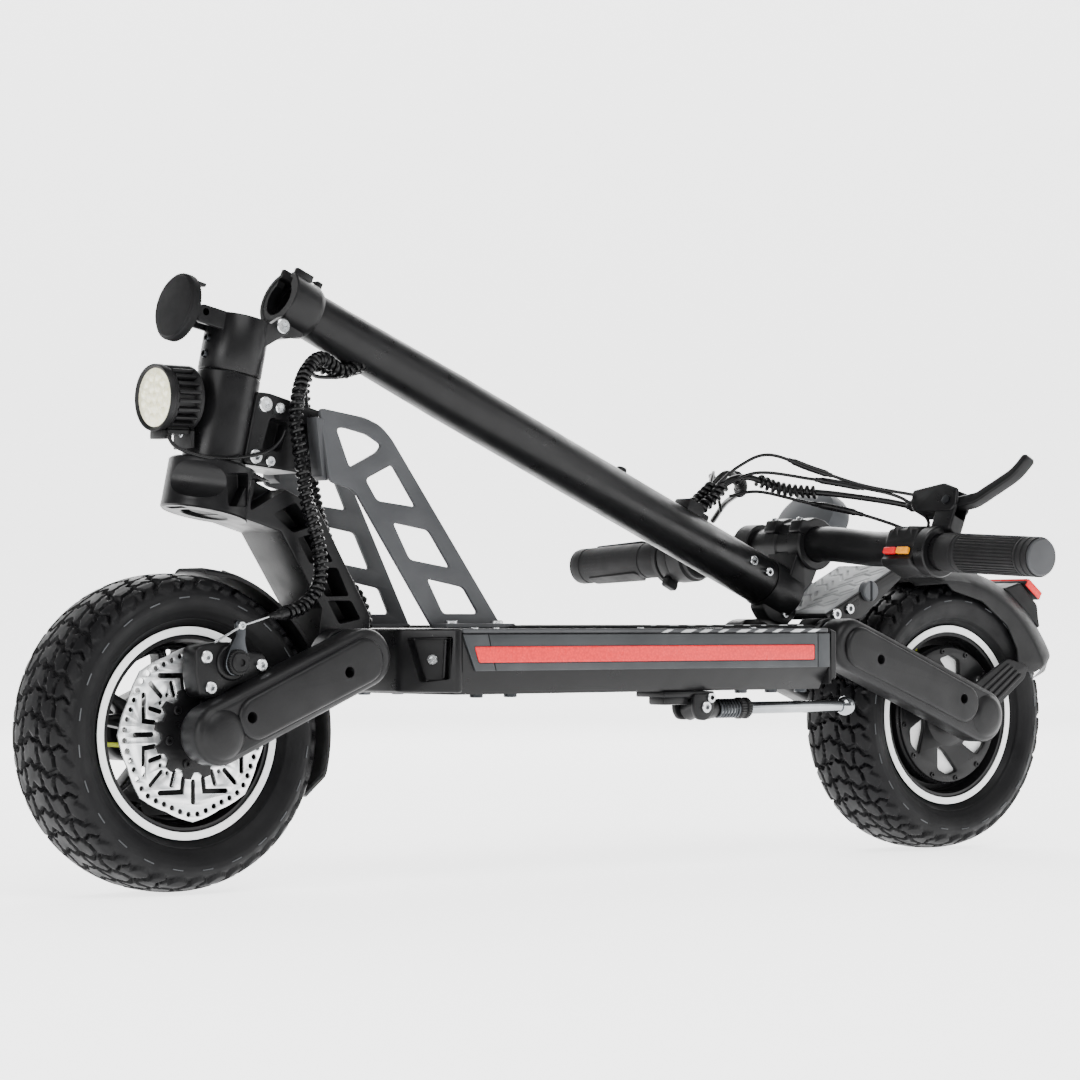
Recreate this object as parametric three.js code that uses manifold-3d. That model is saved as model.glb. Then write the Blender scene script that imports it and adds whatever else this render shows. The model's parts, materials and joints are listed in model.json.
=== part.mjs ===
// Electric kick scooter, standing on its wheels with the stem folded down over the deck.
// Millimetres. +Z is up, -X is the way it rides, -Y is the rider's left.
import * as THREE from 'three';
import { mergeVertices } from 'three/addons/utils/BufferGeometryUtils.js';
import Module from 'manifold-3d';

const wasm = await Module();
wasm.setup();

// ---------- driving dimensions ----------
const WHEELBASE = 857;
const TYRE_RADIUS = 127; // a ten inch tyre
const TYRE_HALF = 44;
const TREAD_HALF = 28;
const TYRE_WALL = 8;
const RIM_RADIUS = 84;
const RIM_HALF = 28;
const HUB_RADIUS = 24;
const MOTOR_RADIUS = 66;
const AXLE_RADIUS = 7;
const DISC_RADIUS = 70;
const DISC_PLANE = 37;
const DISC_THICKNESS = 2;

const FIT = 0.3; // clearance between two pieces that touch
const DECK_FRONT = -205;
const DECK_LENGTH = 414;
const DECK_HALF = 98;
const DECK_FLOOR = 155;
const DECK_DEPTH = 50;
const DECK_WALL = 4;
const COVER_THICKNESS = 4;
const MAT_THICKNESS = 3;
const NOSE_LENGTH = 32;
const NOSE_HALF = 52;
const TAIL_HALF = 46;

const RAKE = THREE.MathUtils.degToRad(12); // lean of the steering axis
const FOLD = THREE.MathUtils.degToRad(101); // travel of the stem from riding to folded
const COLUMN_X = -384.5;
const COLUMN_Z = 343; // lower end of the head tube
const HEAD_LENGTH = 73;
const COLUMN_LENGTH = 120.6; // head tube and clamp tube together
const COLUMN_RADIUS = 26;
const STEERER_RADIUS = 15;
const BEARING_RADIUS = 20.5;
const BEARING_HEIGHT = 8;
const HINGE_OFFSET = 28; // fold pin behind the column axis
const HINGE_HALF = 13;
const EAR_THICKNESS = 9;

const STEM_RADIUS = 22;
const STEM_WALL = 3;
const STEM_LENGTH = 585;
const COLLAR_RADIUS = 28;
const COLLAR_LENGTH = 50;
const SEAT_GAP = 0.6; // between the upright stem and the top of the column
const BAR_RADIUS = 15.9;
const BAR_REACH = 50; // bar ahead of the stem axis
const BAR_HEIGHT = 616;
const BAR_HALF = 310;
const BAR_BORE = BAR_RADIUS + 0.7; // of a sleeve on the bar
const BAR_BEND = 105; // where the bar runs straight out to its ends
const GRIP_WALL = 1.6;
const GRIP_RADIUS = BAR_RADIUS + GRIP_WALL;
const GRIP_LENGTH = 122;

const ARM_INNER = 52;
const ARM_OUTER = 86;
const ARM_PIVOT_RADIUS = 24;
const ARM_AXLE_RADIUS = 25;
const FRONT_PIVOT = { x: -288, z: 186 };
const REAR_PIVOT = { x: 257, z: 194 };
const PIVOT_SHAFT_RADIUS = 7;
const PIVOT_HOUSING_RADIUS = 16;
const FENDER_GAP = 3.5;
const FENDER_THICKNESS = 3;
const FENDER_HALF = 42;

const ROUND = 20; // sides of a small round piece
const WHEEL_SIDES = 28;

const FRONT_AXLE = { x: -WHEELBASE / 2, z: TYRE_RADIUS };
const REAR_AXLE = { x: WHEELBASE / 2, z: TYRE_RADIUS };
const DECK_REAR = DECK_FRONT + DECK_LENGTH;
const SHELL_TOP = DECK_FLOOR + DECK_DEPTH;
const COVER_TOP = SHELL_TOP + FIT + COVER_THICKNESS;
const STEM_AXIS = -HINGE_OFFSET;
const BAR_X = STEM_AXIS - BAR_REACH;

// ---------- solids ----------
function solidOf(geometry) {
  const plain = geometry.clone();
  plain.deleteAttribute('normal');
  plain.deleteAttribute('uv');
  const merged = mergeVertices(plain, 1e-4);
  const index = merged.index.array;
  const at = merged.attributes.position.array;
  const kept = [];
  let volume = 0;
  for (let i = 0; i < index.length; i += 3) {
    const [a, b, c] = [index[i], index[i + 1], index[i + 2]];
    if (a === b || b === c || c === a) continue;
    kept.push(a, b, c);
    const [p, q, r] = [a, b, c].map((v) => new THREE.Vector3().fromArray(at, v * 3));
    volume += p.dot(q.cross(r));
  }
  if (volume < 0) kept.reverse();
  return new wasm.Manifold(new wasm.Mesh({
    numProp: 3,
    vertProperties: new Float32Array(at),
    triVerts: new Uint32Array(kept),
  }));
}

function geometryOf(solid) {
  const mesh = solid.getMesh();
  const geometry = new THREE.BufferGeometry();
  geometry.setAttribute('position', new THREE.BufferAttribute(mesh.vertProperties, 3));
  geometry.setIndex(new THREE.BufferAttribute(mesh.triVerts, 1));
  geometry.computeVertexNormals();
  return geometry;
}

const join = (...solids) => solids.reduce((whole, solid) => whole.add(solid));
const cut = (whole, ...tools) => tools.reduce((left, tool) => left.subtract(tool), whole);

function block(x0, x1, y0, y1, z0, z1) {
  const box = new THREE.BoxGeometry(x1 - x0, y1 - y0, z1 - z0);
  return solidOf(box.translate((x0 + x1) / 2, (y0 + y1) / 2, (z0 + z1) / 2));
}

// A round bar across the scooter, centred on (x, z).
function crossBar(radius, x, z, y0, y1, sides = ROUND) {
  const bar = new THREE.CylinderGeometry(radius, radius, y1 - y0, sides);
  return solidOf(bar.translate(x, (y0 + y1) / 2, z));
}

// A round bar along Z, centred on (x, 0).
function post(radius, x, z0, z1, sides = ROUND) {
  const bar = new THREE.CylinderGeometry(radius, radius, z1 - z0, sides);
  return solidOf(bar.rotateX(Math.PI / 2).translate(x, 0, (z0 + z1) / 2));
}

// A round bar along X, centred on (0, z).
function lengthBar(radius, z, x0, x1, sides = ROUND) {
  const bar = new THREE.CylinderGeometry(radius, radius, x1 - x0, sides);
  return solidOf(bar.rotateZ(Math.PI / 2).translate((x0 + x1) / 2, 0, z));
}

// A closed outline of [radius, width] points turned around the Y axis.
function turned(outline, sides = WHEEL_SIDES) {
  const points = [...outline, outline[0]].map(([radius, width]) => new THREE.Vector2(radius, width));
  return solidOf(new THREE.LatheGeometry(points, sides));
}

// An outline in X and Z, carried across from y0 to y1.
function across(outline, y0, y1) {
  const shape = new THREE.Shape(outline.map(([x, z]) => new THREE.Vector2(x, z)));
  const body = new THREE.ExtrudeGeometry(shape, { depth: y1 - y0, bevelEnabled: false });
  return solidOf(body.rotateX(Math.PI / 2).translate(0, y1, 0));
}

// An outline in Y and Z, carried along from x0 to x1.
function along(outline, x0, x1) {
  const shape = new THREE.Shape(outline.map(([y, z]) => new THREE.Vector2(y, z)));
  const body = new THREE.ExtrudeGeometry(shape, { depth: x1 - x0, bevelEnabled: false });
  return solidOf(body.rotateX(Math.PI / 2).rotateZ(Math.PI / 2).translate(x0, 0, 0));
}

// An outline in X and Y, raised from z0 to z1.
function raised(outline, z0, z1) {
  const shape = new THREE.Shape(outline.map(([x, y]) => new THREE.Vector2(x, y)));
  const body = new THREE.ExtrudeGeometry(shape, { depth: z1 - z0, bevelEnabled: false });
  return solidOf(body.translate(0, 0, z0));
}

function arcPoints(x, z, radius, from, to, steps) {
  return Array.from({ length: steps + 1 }, (_, i) => {
    const angle = THREE.MathUtils.degToRad(from + ((to - from) * i) / steps);
    return [x + radius * Math.cos(angle), z + radius * Math.sin(angle)];
  });
}

// The outline of a bar with round ends of two sizes.
function taperedBar(start, startRadius, end, endRadius) {
  const heading = THREE.MathUtils.radToDeg(Math.atan2(end.z - start.z, end.x - start.x));
  return [
    ...arcPoints(end.x, end.z, endRadius, heading - 90, heading + 90, 10),
    ...arcPoints(start.x, start.z, startRadius, heading + 90, heading + 270, 10),
  ];
}

// A curved sheet around a wheel whose gap to it grows from one end to the other.
function fenderBand(axle, from, to, firstRadius, lastRadius, half) {
  const steps = 18;
  const ring = (extra) => Array.from({ length: steps + 1 }, (_, i) => {
    const share = i / steps;
    const radius = firstRadius + (lastRadius - firstRadius) * share ** 2 + extra;
    const angle = THREE.MathUtils.degToRad(from + (to - from) * share);
    return [axle.x + radius * Math.cos(angle), axle.z + radius * Math.sin(angle)];
  });
  return across([...ring(0), ...ring(FENDER_THICKNESS).reverse()], -half, half);
}

// A round tube swept through a list of points.
function tube(points, radius, steps, sides = 8) {
  const route = new THREE.CatmullRomCurve3(points.map((point) => new THREE.Vector3(...point)));
  const section = new THREE.Shape();
  section.absarc(0, 0, radius, 0, Math.PI * 2);
  const body = new THREE.ExtrudeGeometry(section, {
    steps,
    curveSegments: sides / 2,
    extrudePath: route,
    bevelEnabled: false,
  });
  return solidOf(body);
}

// ---------- finishes ----------
const finish = (colour, roughness, metalness) => () =>
  new THREE.MeshStandardMaterial({ color: colour, roughness, metalness });
const satinBlack = finish('#17181a', 0.45, 0.6);
const mattePlastic = finish('#1c1c1d', 0.6, 0);
const rubber = finish('#151515', 0.8, 0);
const brightSteel = finish('#cfd1d3', 0.25, 1);
const darkSteel = finish('#4b4d50', 0.35, 1);
const greyPlate = finish('#5a5c5e', 0.5, 0.5);
const lampRed = finish('#e8504c', 0.25, 0);
const lampAmber = finish('#f0a422', 0.3, 0);
const lampClear = finish('#f3efd4', 0.1, 0);
const packBlue = finish('#2f5f9a', 0.4, 0);

// ---------- assembly ----------
const scooter = new THREE.Group();
const column = new THREE.Group();
column.position.set(COLUMN_X, 0, COLUMN_Z);
column.rotation.y = RAKE;
scooter.add(column);
const stem = new THREE.Group();
stem.position.set(HINGE_OFFSET, 0, COLUMN_LENGTH);
stem.rotation.y = FOLD;
column.add(stem);
const frontWheel = new THREE.Group();
frontWheel.position.set(FRONT_AXLE.x, 0, FRONT_AXLE.z);
scooter.add(frontWheel);
const rearWheel = new THREE.Group();
rearWheel.position.set(REAR_AXLE.x, 0, REAR_AXLE.z);
scooter.add(rearWheel);

function add(group, name, solid, material) {
  const mesh = new THREE.Mesh(geometryOf(solid), material());
  mesh.name = name;
  group.add(mesh);
}

function onColumn(x, z) {
  const point = new THREE.Vector3(x, 0, z).applyAxisAngle(new THREE.Vector3(0, 1, 0), RAKE);
  return [COLUMN_X + point.x, COLUMN_Z + point.z];
}

// A point of the folded stem, given along it from the fold pin, as a point of the scooter.
function onStem(x, y, z) {
  const turn = RAKE + FOLD;
  const point = new THREE.Vector3(x, y, z).applyAxisAngle(new THREE.Vector3(0, 1, 0), turn);
  const [pinX, pinZ] = onColumn(HINGE_OFFSET, COLUMN_LENGTH);
  return [pinX + point.x, point.y, pinZ + point.z];
}

// ---------- deck ----------
function deckShell() {
  const bevel = 12;
  const low = DECK_FLOOR + bevel * 1.6;
  const inner = DECK_HALF - DECK_WALL;
  const floor = DECK_FLOOR + DECK_WALL;
  const outline = [
    [-DECK_HALF, SHELL_TOP], [-DECK_HALF, low], [-DECK_HALF + bevel, DECK_FLOOR],
    [DECK_HALF - bevel, DECK_FLOOR], [DECK_HALF, low], [DECK_HALF, SHELL_TOP],
    [inner, SHELL_TOP], [inner, low], [inner - bevel, floor],
    [bevel - inner, floor], [-inner, low], [-inner, SHELL_TOP],
  ];
  return along(outline, DECK_FRONT, DECK_REAR);
}

function reflector(side) {
  const top = SHELL_TOP - 10;
  const bottom = top - 14;
  const face = side * (DECK_HALF + FIT);
  const slant = 12;
  const outline = [
    [DECK_FRONT + 30, top], [DECK_FRONT + 30 + slant, bottom],
    [DECK_REAR - 14, bottom], [DECK_REAR - 14, top],
  ];
  return across(outline, Math.min(face, face + side * 2), Math.max(face, face + side * 2));
}

function noseCasting() {
  const back = DECK_FRONT - FIT;
  const outline = [
    [back, -DECK_HALF], [back, DECK_HALF], [back - 6, DECK_HALF],
    [back - NOSE_LENGTH, NOSE_HALF], [back - NOSE_LENGTH, -NOSE_HALF], [back - 6, -DECK_HALF],
  ];
  return raised(outline, DECK_FLOOR + 2, COVER_TOP);
}

function tailCasting() {
  const front = DECK_REAR + FIT;
  const outline = [
    [front, DECK_FLOOR + 2], [REAR_PIVOT.x - 14, DECK_FLOOR + 8],
    ...arcPoints(REAR_PIVOT.x, REAR_PIVOT.z, ARM_PIVOT_RADIUS - 2, -50, 60, 8),
    [REAR_PIVOT.x - 8, COVER_TOP], [front, COVER_TOP],
  ];
  const plate = across([[front, DECK_FLOOR + 4], [front + 9, DECK_FLOOR + 4],
    [front + 9, COVER_TOP], [front, COVER_TOP]], -DECK_HALF, DECK_HALF);
  const bore = crossBar(PIVOT_SHAFT_RADIUS + FIT, REAR_PIVOT.x, REAR_PIVOT.z, -DECK_HALF, DECK_HALF);
  return cut(join(across(outline, -TAIL_HALF, TAIL_HALF), plate), bore);
}

function gusset(side) {
  const reach = 162; // height of the plate above its foot
  const foot = COVER_TOP + FIT;
  const plateY = (z) => 64 - (24 * (z - foot)) / reach;
  const outline = [
    [-150, foot], [-258, foot + reach], [-312, foot + reach + 12],
    [-304, foot + 118], [-266, foot + 92], [-212, foot],
  ];
  const windows = [
    [[-288, foot + 148], [-263, foot + 143], [-250, foot + 122], [-272, foot + 128]],
    [[-266, foot + 117], [-243, foot + 111], [-230, foot + 90], [-251, foot + 96]],
    [[-246, foot + 86], [-223, foot + 80], [-209, foot + 57], [-231, foot + 63]],
    [[-226, foot + 53], [-202, foot + 47], [-188, foot + 25], [-210, foot + 30]],
  ];
  const thickness = 4;
  const lean = (points, depth) => {
    const shape = new THREE.Shape(points.map(([x, z]) => new THREE.Vector2(x, z)));
    const body = new THREE.ExtrudeGeometry(shape, { depth, bevelEnabled: false });
    body.rotateX(Math.PI / 2).translate(0, depth / 2, 0);
    const at = body.attributes.position;
    for (let i = 0; i < at.count; i += 1) {
      at.setY(i, side * (at.getY(i) + plateY(at.getZ(i))));
    }
    return solidOf(body);
  };
  const plate = cut(lean(outline, thickness), ...windows.map((points) => lean(points, 3 * thickness)));
  const inner = side * 25.5;
  const outer = side * 46;
  const flange = block(-312, -304, Math.min(inner, outer), Math.max(inner, outer), foot + 122, foot + 172);
  const heel = block(-212, -152, Math.min(side * 60, side * 82), Math.max(side * 60, side * 82),
    foot, foot + thickness);
  return join(plate, flange, heel);
}

// ---------- head tube and lamp ----------
function headTube() {
  const bore = post(STEERER_RADIUS + 2, 0, -1, HEAD_LENGTH + 1);
  const seats = [[-1, BEARING_HEIGHT + 1], [HEAD_LENGTH - BEARING_HEIGHT - 1, HEAD_LENGTH + 1]];
  const body = post(COLUMN_RADIUS, 0, FIT, HEAD_LENGTH - FIT);
  return cut(body, bore, ...seats.map(([z0, z1]) => post(BEARING_RADIUS, 0, z0, z1)));
}

function headsetBearing(z) {
  const ring = post(BEARING_RADIUS - FIT, 0, z, z + BEARING_HEIGHT);
  return cut(ring, post(STEERER_RADIUS + FIT, 0, z - 1, z + BEARING_HEIGHT + 1));
}

function headBracket() {
  const outline = [[0, 4], [72, 8], [78, 62], [26, 66], [0, 66]];
  const body = across(outline, -25, 25);
  const pocket = block(40, 68, -30, 30, 20, 52);
  const web = block(38, 70, -8, 8, 18, 54);
  return cut(body, cut(pocket, web), post(COLUMN_RADIUS + FIT, 0, 0, 80));
}

const LAMP_RADIUS = 27;
const LAMP_Z = 394;
const LAMP_FRONT = COLUMN_X - 58;
const LAMP_LENGTH = 33;

function headlightHousing() {
  const body = lengthBar(LAMP_RADIUS, LAMP_Z, LAMP_FRONT, LAMP_FRONT + LAMP_LENGTH);
  const cup = lengthBar(LAMP_RADIUS - 2.5, LAMP_Z, LAMP_FRONT - 1, LAMP_FRONT + 6);
  const tabX = LAMP_FRONT + 18;
  const tab = block(tabX, tabX + 10, -12, 12, LAMP_Z - LAMP_RADIUS - 14, LAMP_Z - LAMP_RADIUS + 4);
  const [tubeX, tubeZ] = onColumn(-COLUMN_RADIUS - FIT, 12);
  const foot = block(tabX, tubeX - 1.5, -12, 12, tubeZ - 2, tubeZ + 3);
  return join(cut(body, cup), tab, foot);
}

function headlightLens() {
  return lengthBar(LAMP_RADIUS - 2.5 - FIT, LAMP_Z, LAMP_FRONT + 1, LAMP_FRONT + 6 - FIT);
}

// ---------- steering ----------
const BEAM_HALF = 29;
const BOSS_RADIUS = 36;
const BOSS_HEIGHT = 43;

function inColumn(solid) {
  const place = new THREE.Matrix4().makeRotationY(RAKE).setPosition(COLUMN_X, 0, COLUMN_Z);
  return solid.transform(place.elements);
}

function forkCrown() {
  const boss = inColumn(post(BOSS_RADIUS, 0, -BOSS_HEIGHT, -FIT - 0.7));
  const shaft = inColumn(post(STEERER_RADIUS, 0, -10, COLUMN_LENGTH - 14));
  const [topX, topZ] = onColumn(20, -3);
  const [rearX, rearZ] = onColumn(88, -16);
  const [frontX, frontZ] = onColumn(6, -43);
  const pivot = FRONT_PIVOT;
  const outline = [
    [topX, topZ], [frontX, frontZ], [pivot.x - 50, pivot.z + 102], [pivot.x - 9, pivot.z + 40],
    ...arcPoints(pivot.x, pivot.z, PIVOT_HOUSING_RADIUS, 160, 290, 8),
    [pivot.x + 26, pivot.z - 6], [pivot.x + 38, pivot.z + 8], [pivot.x + 40, pivot.z + 34], [rearX, rearZ],
  ];
  const pockets = [
    [[pivot.x - 55, pivot.z + 113], [pivot.x - 38, pivot.z + 110], [pivot.x - 38, pivot.z + 128],
      [pivot.x - 55, pivot.z + 134]],
    [[pivot.x - 32, pivot.z + 92], [pivot.x - 6, pivot.z + 90], [pivot.x - 22, pivot.z + 118]],
    [[pivot.x - 24, pivot.z + 80], [pivot.x - 8, pivot.z + 56], [pivot.x + 17, pivot.z + 60],
      [pivot.x + 3, pivot.z + 84]],
    [[pivot.x - 4, pivot.z + 49], [pivot.x + 8, pivot.z + 27], [pivot.x + 32, pivot.z + 30],
      [pivot.x + 22, pivot.z + 52]],
  ];
  const cuts = pockets.flatMap((points) => [
    across(points, -BEAM_HALF - 1, -7), across(points, 7, BEAM_HALF + 1),
  ]);
  const housing = crossBar(PIVOT_HOUSING_RADIUS, pivot.x, pivot.z, -ARM_INNER + 1, ARM_INNER - 1);
  const bore = crossBar(PIVOT_SHAFT_RADIUS + FIT, pivot.x, pivot.z, -60, 60);
  return cut(join(cut(across(outline, -BEAM_HALF, BEAM_HALF), ...cuts), housing, boss, shaft), bore);
}

function steererColumn() {
  const low = HEAD_LENGTH + FIT;
  const body = post(COLUMN_RADIUS, 0, low, COLUMN_LENGTH - 0.4);
  const ear = (y0, y1) => join(
    crossBar(8, HINGE_OFFSET, COLUMN_LENGTH, y0, y1),
    across([[8, COLUMN_LENGTH - 26], [HINGE_OFFSET + 6, COLUMN_LENGTH - 6],
      [HINGE_OFFSET, COLUMN_LENGTH + 8], [18, COLUMN_LENGTH - 0.4], [8, COLUMN_LENGTH - 0.4]], y0, y1),
  );
  const outer = HINGE_HALF + FIT + EAR_THICKNESS;
  const yoke = (y0, y1) => block(-48, -20, y0, y1, COLUMN_LENGTH - 16, COLUMN_LENGTH - 1);
  const solid = join(body, ear(HINGE_HALF + FIT, outer), ear(-outer, -HINGE_HALF - FIT),
    yoke(9.5, 14), yoke(-14, -9.5));
  const shaftBore = post(STEERER_RADIUS + FIT, 0, 0, COLUMN_LENGTH - 10);
  const openTop = post(19, 0, COLUMN_LENGTH - 10, COLUMN_LENGTH + 4);
  const knuckle = crossBar(9.5, HINGE_OFFSET, COLUMN_LENGTH, -HINGE_HALF - FIT, HINGE_HALF + FIT);
  const pinBore = crossBar(4 + FIT, HINGE_OFFSET, COLUMN_LENGTH, -40, 40);
  const latchBore = crossBar(3 + FIT, LATCH.x, LATCH.z, -20, 20);
  return cut(solid, shaftBore, openTop, knuckle, pinBore, latchBore);
}

const LATCH = { x: -41, z: COLUMN_LENGTH - 6 };
const KNOB_RADIUS = 28;

function clampBolt() {
  const pivot = crossBar(3, LATCH.x, LATCH.z, -14, 14, 16);
  const link = block(LATCH.x - 13, LATCH.x + 3, -9, 9, LATCH.z - 5, LATCH.z + 5);
  const claw = block(LATCH.x - 13, LATCH.x - 10, -9, 9, LATCH.z - 16, LATCH.z + 24);
  const prong = block(LATCH.x - 12, LATCH.x, -9, 9, LATCH.z + 20, LATCH.z + 24);
  const spigot = lengthBar(4, LATCH.z, LATCH.x - 18, LATCH.x - 12, 16);
  return join(pivot, link, claw, prong, spigot);
}

function clampKnob() {
  const back = LATCH.x - 13 - FIT;
  const body = lengthBar(KNOB_RADIUS, LATCH.z, back - 8, back, 36);
  const face = lengthBar(KNOB_RADIUS - 3, LATCH.z, back - 10, back - 7, 36);
  return cut(join(body, face), lengthBar(4 + FIT, LATCH.z, back - 5.5, back + 1, 16));
}

function frontFender() {
  const inner = TYRE_RADIUS + FENDER_GAP;
  return fenderBand(FRONT_AXLE, 80, -22, inner, inner + 1.5, FENDER_HALF);
}

// ---------- stem, along its own axis ----------
function stemCollar() {
  const body = post(COLLAR_RADIUS, STEM_AXIS, SEAT_GAP, COLLAR_LENGTH);
  const bore = post(STEM_RADIUS + FIT, STEM_AXIS, -1, COLLAR_LENGTH + 1);
  const slot = block(-70, STEM_AXIS - 10, -7, 7, -1, 20);
  const tongue = across([[-18, SEAT_GAP], [-2, SEAT_GAP], [-1, 0], [0, -7], [8, 0], [4, 12], [-6, 26], [-18, 26]],
    -HINGE_HALF, HINGE_HALF);
  const knuckle = crossBar(8, 0, 0, -HINGE_HALF, HINGE_HALF);
  const rib = block(STEM_AXIS - COLLAR_RADIUS - 4, STEM_AXIS - COLLAR_RADIUS + 4, -8, 8, 26, 32);
  const pinBore = crossBar(4 + FIT, 0, 0, -40, 40);
  const earSpace = [crossBar(9, 0, 0, HINGE_HALF, 40), crossBar(9, 0, 0, -40, -HINGE_HALF)];
  return cut(join(body, tongue, knuckle, rib), bore, slot, pinBore, ...earSpace);
}

const CABLE_EXIT = 84;
const CABLE_ENTRY = 484;

function stemTube() {
  const start = 14;
  const body = post(STEM_RADIUS, STEM_AXIS, start, STEM_LENGTH);
  const bore = post(STEM_RADIUS - STEM_WALL, STEM_AXIS, start - 1, STEM_LENGTH + 1);
  const exit = block(STEM_AXIS, 0, -12, 12, CABLE_EXIT - 16, CABLE_EXIT + 16);
  const entry = block(-60, STEM_AXIS, -12, 12, CABLE_ENTRY - 14, CABLE_ENTRY + 14);
  return cut(body, bore, exit, entry);
}

function stemEndCollar() {
  const sleeve = post(STEM_RADIUS + 1, STEM_AXIS, STEM_LENGTH + FIT, BAR_HEIGHT + 4);
  const plug = post(STEM_RADIUS - STEM_WALL - FIT, STEM_AXIS, STEM_LENGTH - 40, STEM_LENGTH + 4);
  const neck = block(BAR_X + 2, STEM_AXIS, -20, 20, BAR_HEIGHT - 17, BAR_HEIGHT + 15);
  const saddle = crossBar(24, BAR_X, BAR_HEIGHT, -24, 24);
  const half = block(BAR_X - 40, BAR_X - 1, -40, 40, BAR_HEIGHT - 40, BAR_HEIGHT + 40);
  const bore = crossBar(BAR_BORE, BAR_X, BAR_HEIGHT, -40, 40);
  return cut(join(sleeve, plug, neck, cut(saddle, half)), bore);
}

function handlebarClamp() {
  const ring = join(crossBar(24, BAR_X, BAR_HEIGHT, -24, 24),
    block(BAR_X - 14, BAR_X - 1, -24, 24, BAR_HEIGHT - 27, BAR_HEIGHT + 27));
  const half = block(BAR_X - 1 - FIT, BAR_X + 40, -40, 40, BAR_HEIGHT - 40, BAR_HEIGHT + 40);
  return cut(ring, half, crossBar(BAR_BORE, BAR_X, BAR_HEIGHT, -40, 40));
}

// Centre line of the bar at a distance y from its middle: a rise, then a straight sweep back.
function barPoint(y) {
  const bend = THREE.MathUtils.smoothstep(Math.abs(y), 30, BAR_BEND);
  const sweep = Math.max(Math.abs(y) - BAR_BEND, 0) / (BAR_HALF - BAR_BEND);
  return [BAR_X + 3 * bend + 15 * sweep, y, BAR_HEIGHT + 8 * bend - 8 * sweep];
}

function handlebar() {
  const half = [30, 45, 65, 85, BAR_BEND, BAR_BEND + 40, BAR_HALF - 60, BAR_HALF - 4];
  const stations = [...half.map((y) => -y).reverse(), 0, ...half];
  return tube(stations.map(barPoint), BAR_RADIUS, 18, 14);
}

// A round bar on the centre line of the handlebar, from y0 to y1.
function barRound(y0, y1, radius) {
  const from = new THREE.Vector3(...barPoint(y0));
  const to = new THREE.Vector3(...barPoint(y1));
  const bar = new THREE.CylinderGeometry(radius, radius, from.distanceTo(to), ROUND);
  const way = to.clone().sub(from).normalize();
  bar.applyQuaternion(new THREE.Quaternion().setFromUnitVectors(new THREE.Vector3(0, 1, 0), way));
  return solidOf(bar.translate(...from.add(to).multiplyScalar(0.5).toArray()));
}

const sleeve = (y0, y1, radius, bore = BAR_BORE) =>
  cut(barRound(y0, y1, radius), barRound(y0 - 2, y1 + 2, bore));

function grip(side) {
  const inner = BAR_HALF - GRIP_LENGTH;
  const body = barRound(side * inner, side * BAR_HALF, GRIP_RADIUS);
  return cut(body, barRound(side * (inner - 2), side * (BAR_HALF - 3), BAR_BORE));
}

const POD_FROM = 126;
const POD_TO = 164;
const POD_HALF = BAR_RADIUS + 5.1;
const LEVER_PIVOT = { x: BAR_X - 38, y: -178, z: BAR_HEIGHT + 14 };

function switchPod() {
  const [x, , z] = barPoint(-(POD_FROM + POD_TO) / 2);
  const body = block(x + 1 - POD_HALF, x + 1 + POD_HALF, -POD_TO, -POD_FROM, z - POD_HALF, z + POD_HALF - 1);
  const seats = [BUTTON_HORN, BUTTON_SIGNAL].map((y) =>
    buttonShaft(y, BUTTON_HALF + FIT, 16, BUTTON_ROOT + BUTTON_TRAVEL + FIT));
  return cut(body, barRound(-POD_TO - 5, -POD_FROM + 5, BAR_BORE), ...seats);
}

const BUTTON_HORN = -POD_FROM - 11;
const BUTTON_SIGNAL = -POD_FROM - 27;
const BUTTON_TRAVEL = 1.5;

const BUTTON_HALF = 5;
const BUTTON_ROOT = 2.5;

// A square shaft through the lower face of the switch pod, standing out of it and running into it.
function buttonShaft(y, half, outside, inside) {
  const [x, , z] = barPoint(-(POD_FROM + POD_TO) / 2);
  const face = z - POD_HALF;
  return block(x + 9 - half, x + 9 + half, y - half, y + half, face - outside, face + inside);
}

const button = (y) => buttonShaft(y, BUTTON_HALF, 2.2, BUTTON_ROOT);

function leverBracket() {
  const [x, , z] = barPoint(-174);
  const ring = sleeve(-181, -167, 23);
  const mastStart = BAR_RADIUS + 4;
  const mast = block(LEVER_PIVOT.x - 8, x - mastStart, -186, -166, z - 9, z + 9);
  const housing = block(LEVER_PIVOT.x - 14, LEVER_PIVOT.x + 10, -190, -134, z - 10, z + 10);
  const slot = block(LEVER_PIVOT.x - 30, LEVER_PIVOT.x + 14, -230, LEVER_PIVOT.y + 8, z - 6.5, z + 6.5);
  const cable = crossBar(3.4, LEVER_PIVOT.x, z, -170, -120, 12);
  const pin = post(3, LEVER_PIVOT.x, z - 12, z + 12, 12);
  const moved = pin.translate([0, LEVER_PIVOT.y, 0]);
  return join(cut(join(ring, mast, housing), slot, cable), moved);
}

function brakeLever() {
  const [, , z] = barPoint(-174);
  const px = LEVER_PIVOT.x;
  const py = LEVER_PIVOT.y;
  const outline = [
    [px + 6, py + 5], [px + 5.5, py - 11], [px + 1.5, py - 30], [px - 8, py - 44], [px - 14, py - 54],
    [px - 26, py - 71], [px - 41, py - 81], [px - 46, py - 73], [px - 33, py - 63], [px - 23, py - 48],
    [px - 16.5, py - 38], [px - 9, py - 25], [px - 6.5, py - 11], [px - 6, py + 5],
  ];
  const blade = raised(outline, z - 6, z + 6);
  const bore = post(3 + FIT, px, z - 20, z + 20, 12).translate([0, py, 0]);
  return cut(blade, bore);
}

function throttleHousing() {
  const outer = sleeve(BAR_HALF - GRIP_LENGTH - 48, BAR_HALF - GRIP_LENGTH - 1, 25);
  const groove = sleeve(THROTTLE_Y - 6.5, THROTTLE_Y + 6.5, 27, 20);
  return cut(outer, groove);
}

const THROTTLE_Y = BAR_HALF - GRIP_LENGTH - 16;

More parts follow.
